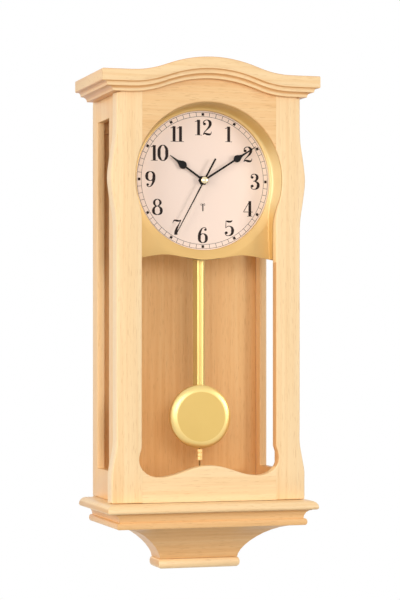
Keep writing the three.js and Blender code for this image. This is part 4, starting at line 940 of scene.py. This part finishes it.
printed = finish_piece("dial_numerals", numerals, ink, "case")
print("numerals:", len(printed.data.polygons), "faces")

# %% [markdown]
# A small mast with waves at its top tells that this clock sets itself by radio.
# It is drawn with the same pen as the numerals.

# %% Mast sign
SIGN_DROP = 28.5 * MM
SIGN_HEIGHT = 9 * MM
SIGN_STROKES = [
    straight(0, 0, 0, 0.86, 0.08), ball(0, 0.9, 0.12),
    ("curve", [(0.2, 0.72, 0.03), (0.28, 0.9, 0.035), (0.2, 1.08, 0.03)]),
    ("curve", [(-0.2, 0.72, 0.03), (-0.28, 0.9, 0.035), (-0.2, 1.08, 0.03)]),
]
sign = stroke_shape(SIGN_STROKES)
sign_size = Matrix.Diagonal((SIGN_HEIGHT, SIGN_HEIGHT, INK_PRESS, 1))
sign_place = Matrix.Translation((0, -SIGN_DROP - SIGN_HEIGHT, 0))
bmesh.ops.transform(sign, matrix=sign_place @ sign_size, verts=sign.verts)
lay_on_dial(sign)
finish_piece("dial_sign", sign, ink, "case")
print("mast sign:", len(SIGN_STROKES), "strokes")

# %% [markdown]
# The minute track is two thin circles with a stroke for each minute between them and a square for each five
# minutes. A circle's line is the band between two rings of points. Strokes and squares are flat boxes.

# %% Minute track
TRACK_INNER = 78 * MM
TRACK_OUTER = 83.3 * MM
LINE_WIDTH = 0.45 * MM
STROKE_WIDTH = 0.5 * MM
SQUARE = 3.3 * MM

track = bmesh.new()
for radius in (TRACK_INNER, TRACK_OUTER):
    rings = []
    for edge_radius in (radius - LINE_WIDTH / 2, radius + LINE_WIDTH / 2):
        made = bmesh.ops.create_circle(track, segments=144, radius=edge_radius)
        rings += {edge for vert in made["verts"] for edge in vert.link_edges}
    bmesh.ops.bridge_loops(track, edges=rings)
for minute in range(60):
    five = minute % 5 == 0
    width = SQUARE if five else STROKE_WIDTH
    length = SQUARE if five else TRACK_OUTER - TRACK_INNER
    turn = Matrix.Rotation(math.radians(-6 * minute), 4, "Z")
    slide = Matrix.Translation((0, (TRACK_INNER + TRACK_OUTER) / 2, 0))
    size = Matrix.Diagonal((width, length, INK_HEIGHT, 1))
    bmesh.ops.create_cube(track, size=1, matrix=turn @ slide @ size)
bmesh.ops.translate(track, vec=(0, 0, INK_HEIGHT / 2), verts=track.verts)
lay_on_dial(track)
printed = finish_piece("dial_track", track, ink, "case")
print("minute track:", len(printed.data.polygons), "faces")

# %% [markdown]
# The hands are stamped sheet, enamelled black, with edges just broken. The second hand's long end is drawn
# half as wide again, so that it reads as it does in the photograph. The cap over their centre is a small
# polished dome, which is a quarter of an ellipse spun about the hands' axis.

# %% Hands and cap
enamel = coated("enamel", color(20, 17, 17), color(15, 13, 13), 0.5, 900, 0.03, 0.15)
HAND_EASE = 0.15 * MM
SECOND_WIDER = 1.5
CAP_EDGE = 0.3 * MM
for node in ("hour_hand", "minute_hand"):
    soften(node, enamel, HAND_EASE)

second = merged_copy("second_hand")
tip = max((vert.co for vert in second.verts), key=from_dial_axis)
lean = Matrix.Rotation(math.atan2(tip.x - dial_centre.x, tip.z - dial_centre.z), 4, "Y")
to_axis = Matrix.Translation(-dial_centre)
widened = lean @ Matrix.Diagonal((SECOND_WIDER, 1, 1, 1)) @ lean.inverted()
blade = [vert for vert in second.verts if (vert.co - dial_centre).dot(tip - dial_centre) > 0]
bmesh.ops.transform(second, matrix=widened, space=to_axis, verts=blade)
finish_piece("second_hand_blade", second, enamel, "second", ["second_hand"])

cap_low, cap_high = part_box("hand_cap")
cap_radius = (cap_high.x - cap_low.x) / 2
dome = arc(0, cap_low.y, cap_radius, cap_high.y - CAP_EDGE, 0, 90, 12)
cap = spun(dome + [(cap_radius, cap_high.y), (0, cap_high.y)], dial_centre, 48)
finish_piece("hand_cap_dome", cap, champagne, body_of_node["hand_cap"],
             ["hand_cap"])
print("cap radius:", round(cap_radius / MM, 2), "mm")

# %% [markdown]
# The bob is two pressed brass shells. Its front is a flat disc with a rounded rim that starts at a
# clear ridge, which is why the rim flashes while the face stays calm. The rim's brass is also painted paler than
# the face, a painted highlight. One outline, spun, gives all of it.

# %% Pendulum
bob_low, bob_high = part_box("bob_front")
bob_centre = (bob_low + bob_high) / 2
bob_radius = (bob_high.x - bob_low.x) / 2
FACE_SHARE = 0.785
RIDGE = 0.4 * MM
FACE_FLAT = 1.2 * MM
RIM_INSET = 0.4 * MM
RIM_DROP = 2.8 * MM
RIM_END = 3.4 * MM
RIM_SHARP = math.radians(9)
COVER_EASE = 0.3 * MM
face_radius = bob_radius * FACE_SHARE


def bob_finish(face, rim):
    """Satin brass inside the ridge, and outside it a paler brass that is a painted highlight."""
    material, graph, shader = new_material("bob_brass")
    from_axis = graph.stretched((1, 0, 1), (-bob_centre.x, 0, -bob_centre.z))
    distance = graph.node("ShaderNodeVectorMath", {"operation": "LENGTH"}, {0: from_axis}, 1)
    on_rim = graph.ease(distance, face_radius - RIDGE, face_radius + RIDGE)
    cloud = graph.noise(graph.stretched(), scale=26, detail=3)
    lines = graph.noise(graph.stretched(ALONG_ROD), scale=700)
    fill(graph, shader, {
        "Metallic": 0.75,
        "Base Color": graph.mix(on_rim, graph.mix(cloud, *face), graph.mix(cloud, *rim)),
        "Roughness": 0.3 + 0.1 * lines,
    })
    return material


FACE_COLORS = (color(221, 189, 115), color(213, 180, 104))
# Painted highlight: the rim's colours are paler than the face's.
RIM_SHEEN_COLORS = (color(240, 213, 142), color(234, 204, 130))
bob_brass = bob_finish(FACE_COLORS, RIM_SHEEN_COLORS)
face = [(0, bob_low.y), (face_radius - FACE_FLAT, bob_low.y)]
rim = arc(face_radius, bob_low.y, bob_radius - RIM_INSET, bob_low.y + RIM_DROP, 10, 52, 10)
edge = [(bob_radius, bob_low.y + RIM_END), (bob_radius, bob_high.y), (0, bob_high.y)]
bob = spun(face + rim + edge, bob_centre, 96)
finish_piece("bob_shell", bob, bob_brass, "pendulum", ["bob_front"],
             sharp=RIM_SHARP)
soften("bob_back", brass, COVER_EASE)
print("bob:", round(2 * bob_radius / MM, 1), "mm across")

# %% [markdown]
# The rod is pressed from brass strip: sloping flanks, a front that is slightly hollow, and a fine crease
# down its middle. The flanks mirror the dark inside of the case and the front mirrors the white room, and
# that is what draws the upright bands. Its section is a face of a few corners, pulled along the rod.

# %% Rod
rod_low, rod_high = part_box("pendulum_rod")
FRONT_HALF = 3.7 * MM
ROD_EDGE = 0.8 * MM
HOLLOW = 0.5 * MM
CREASE = 0.3 * MM
FRONT_SHARES = (0.1, 0.3, 0.5, 0.7, 0.88, 1)
half_width = rod_high.x
right_half = [(FRONT_HALF * share, rod_low.y + HOLLOW * (1 - share ** 2)) for share in FRONT_SHARES]
right_half += [(half_width, rod_high.y - ROD_EDGE), (half_width, rod_high.y)]
left_half = [(-x, y) for x, y in reversed(right_half)]
section = left_half + [(0, rod_low.y + HOLLOW + CREASE)] + right_half
rod = bmesh.new()
end_face = rod.faces.new([rod.verts.new((x, y, rod_low.z)) for x, y in section])
pull(rod, end_face, (0, 0, rod_high.z - rod_low.z))
finish_piece("pendulum_rod_strip", rod, polished, "pendulum", ["pendulum_rod"])
print("rod length:", round((rod_high.z - rod_low.z) / MM, 1), "mm")

# %% [markdown]
# The rating nut under the bob is turned brass with two grooves for the fingertips. Turning it raises or
# lowers the bob, which makes the swing faster or slower.

# %% Rating nut
nut_low, nut_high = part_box("rating_nut")
nut_centre = (nut_low + nut_high) / 2
nut_radius = (nut_high.x - nut_low.x) / 2
nut_height = nut_high.z - nut_low.z
CHAMFER = 0.4 * MM
GROOVES = ((0.3, 0.36), (0.64, 0.7))
bore_radius = nut_radius * 0.45
end_radius = nut_radius * 0.88
groove_radius = nut_radius * 0.9
outline = [(bore_radius, nut_low.z), (end_radius, nut_low.z), (nut_radius, nut_low.z + CHAMFER)]
for start, stop in GROOVES:
    middle = (start + stop) / 2
    outline += [(nut_radius, nut_low.z + nut_height * start),
                (groove_radius, nut_low.z + nut_height * middle),
                (nut_radius, nut_low.z + nut_height * stop)]
outline += [(nut_radius, nut_high.z - CHAMFER), (end_radius, nut_high.z), (bore_radius, nut_high.z),
            (bore_radius, nut_low.z)]
nut = spun(outline, nut_centre, 40, upright=True)
finish_piece("rating_nut_turned", nut, pale_brass, "nut", ["rating_nut"])
print("rating nut:", round(2 * nut_radius / MM, 2), "x", round(nut_height / MM, 2), "mm")

# %% [markdown]
# What is left keeps its imported shape and gets its real finish: moulded plastic with a fine spark texture,
# a printed board, enamelled copper wire, ferrite, and the sleeve of the cell. Wound wire and the stud's thread get
# painted shade in their grooves.

# %% Movement finishes
WAVE_PERIOD = 0.314
WIRE_PITCH = 0.8 * MM
THREAD_PITCH = 0.6 * MM


def wound(name, base, groove, axis, pitch):
    """Wire wound in close turns, one groove for each turn along an axis, with painted shade in the grooves."""
    material, graph, shader = new_material(name)
    turns = graph.node("ShaderNodeTexWave", {"wave_type": "BANDS", "bands_direction": axis.upper()},
                       {"Vector": graph.stretched(), "Scale": WAVE_PERIOD / pitch, "Distortion": 0.4})
    fill(graph, shader, {
        # Painted shade: the grooves between turns take the darker colour.
        "Base Color": graph.mix(turns, groove, base),
        "Roughness": 0.5 - 0.2 * turns,
        "Metallic": 0.6,
        "Normal": graph.bump(turns, 0.5, 0.0002),
    })
    return material


finishes = {
    "steel": zinc,
    "polished_brass": brass,
    "satin_gold": gilt,
    "hand_black": enamel,
    "pale_wood": inner_wood,
    "back_veneer": back_wood,
    "dial_white": dial_card,
    "copper_winding": wound("copper_winding", color(196, 112, 58), color(110, 52, 24), "x", WIRE_PITCH),
}
COATS = {
    "dark_plastic": (color(48, 48, 50), color(40, 40, 43), 0.5, 700, 0.25),
    "pale_plastic": (color(226, 222, 212), color(218, 213, 202), 0.45, 700, 0.2),
    "red_plastic": (color(186, 44, 38), color(172, 36, 32), 0.42, 700, 0.2),
    "circuit_green": (color(38, 104, 62), color(30, 88, 52), 0.35, 500, 0.15),
    "ferrite": (color(62, 60, 60), color(50, 49, 50), 0.7, 900, 0.3),
    "cell_jacket": (color(70, 84, 98), color(60, 73, 88), 0.28, 400, 0.05),
}
for slot, values in COATS.items():
    finishes[slot] = coated(slot, *values)
own_finishes = {
    # The shaft nut's black enamel is partly its finish and partly painted shade round the hands' hub.
    "shaft_nut": enamel,
    "rating_stud": wound("stud_thread", color(186, 146, 84), color(96, 64, 30), "z", THREAD_PITCH),
}
for name, item in frame["nodes"].items():
    item.data.materials.clear()
    item.data.materials.append(own_finishes.get(name, finishes[slot_of_node[name]]))
print("finishes:", len(finishes))

# %% [markdown]
# The floor is a pale disc far enough below the clock that it stays out of the photograph's frame.

# %% Floor
FLOOR_DROP = 0.9
FLOOR_RADIUS = 1.1
floor_paint = coated("floor_paint", color(244, 244, 244), color(240, 240, 240), 0.7, 60, 0.02)
floor_shape = bmesh.new()
bmesh.ops.create_circle(floor_shape, cap_ends=True, segments=96, radius=FLOOR_RADIUS)
bmesh.ops.translate(floor_shape, vec=(0, 0, cad_box[0][2] - FLOOR_DROP), verts=floor_shape.verts)
floor_mesh = bpy.data.meshes.new("floor")
floor_shape.to_mesh(floor_mesh)
floor_shape.free()
floor_mesh.materials.append(floor_paint)
floor = bpy.data.objects.new("floor", floor_mesh)
bpy.context.scene.collection.objects.link(floor)
print("floor height:", round(cad_box[0][2] - FLOOR_DROP, 3), "m")
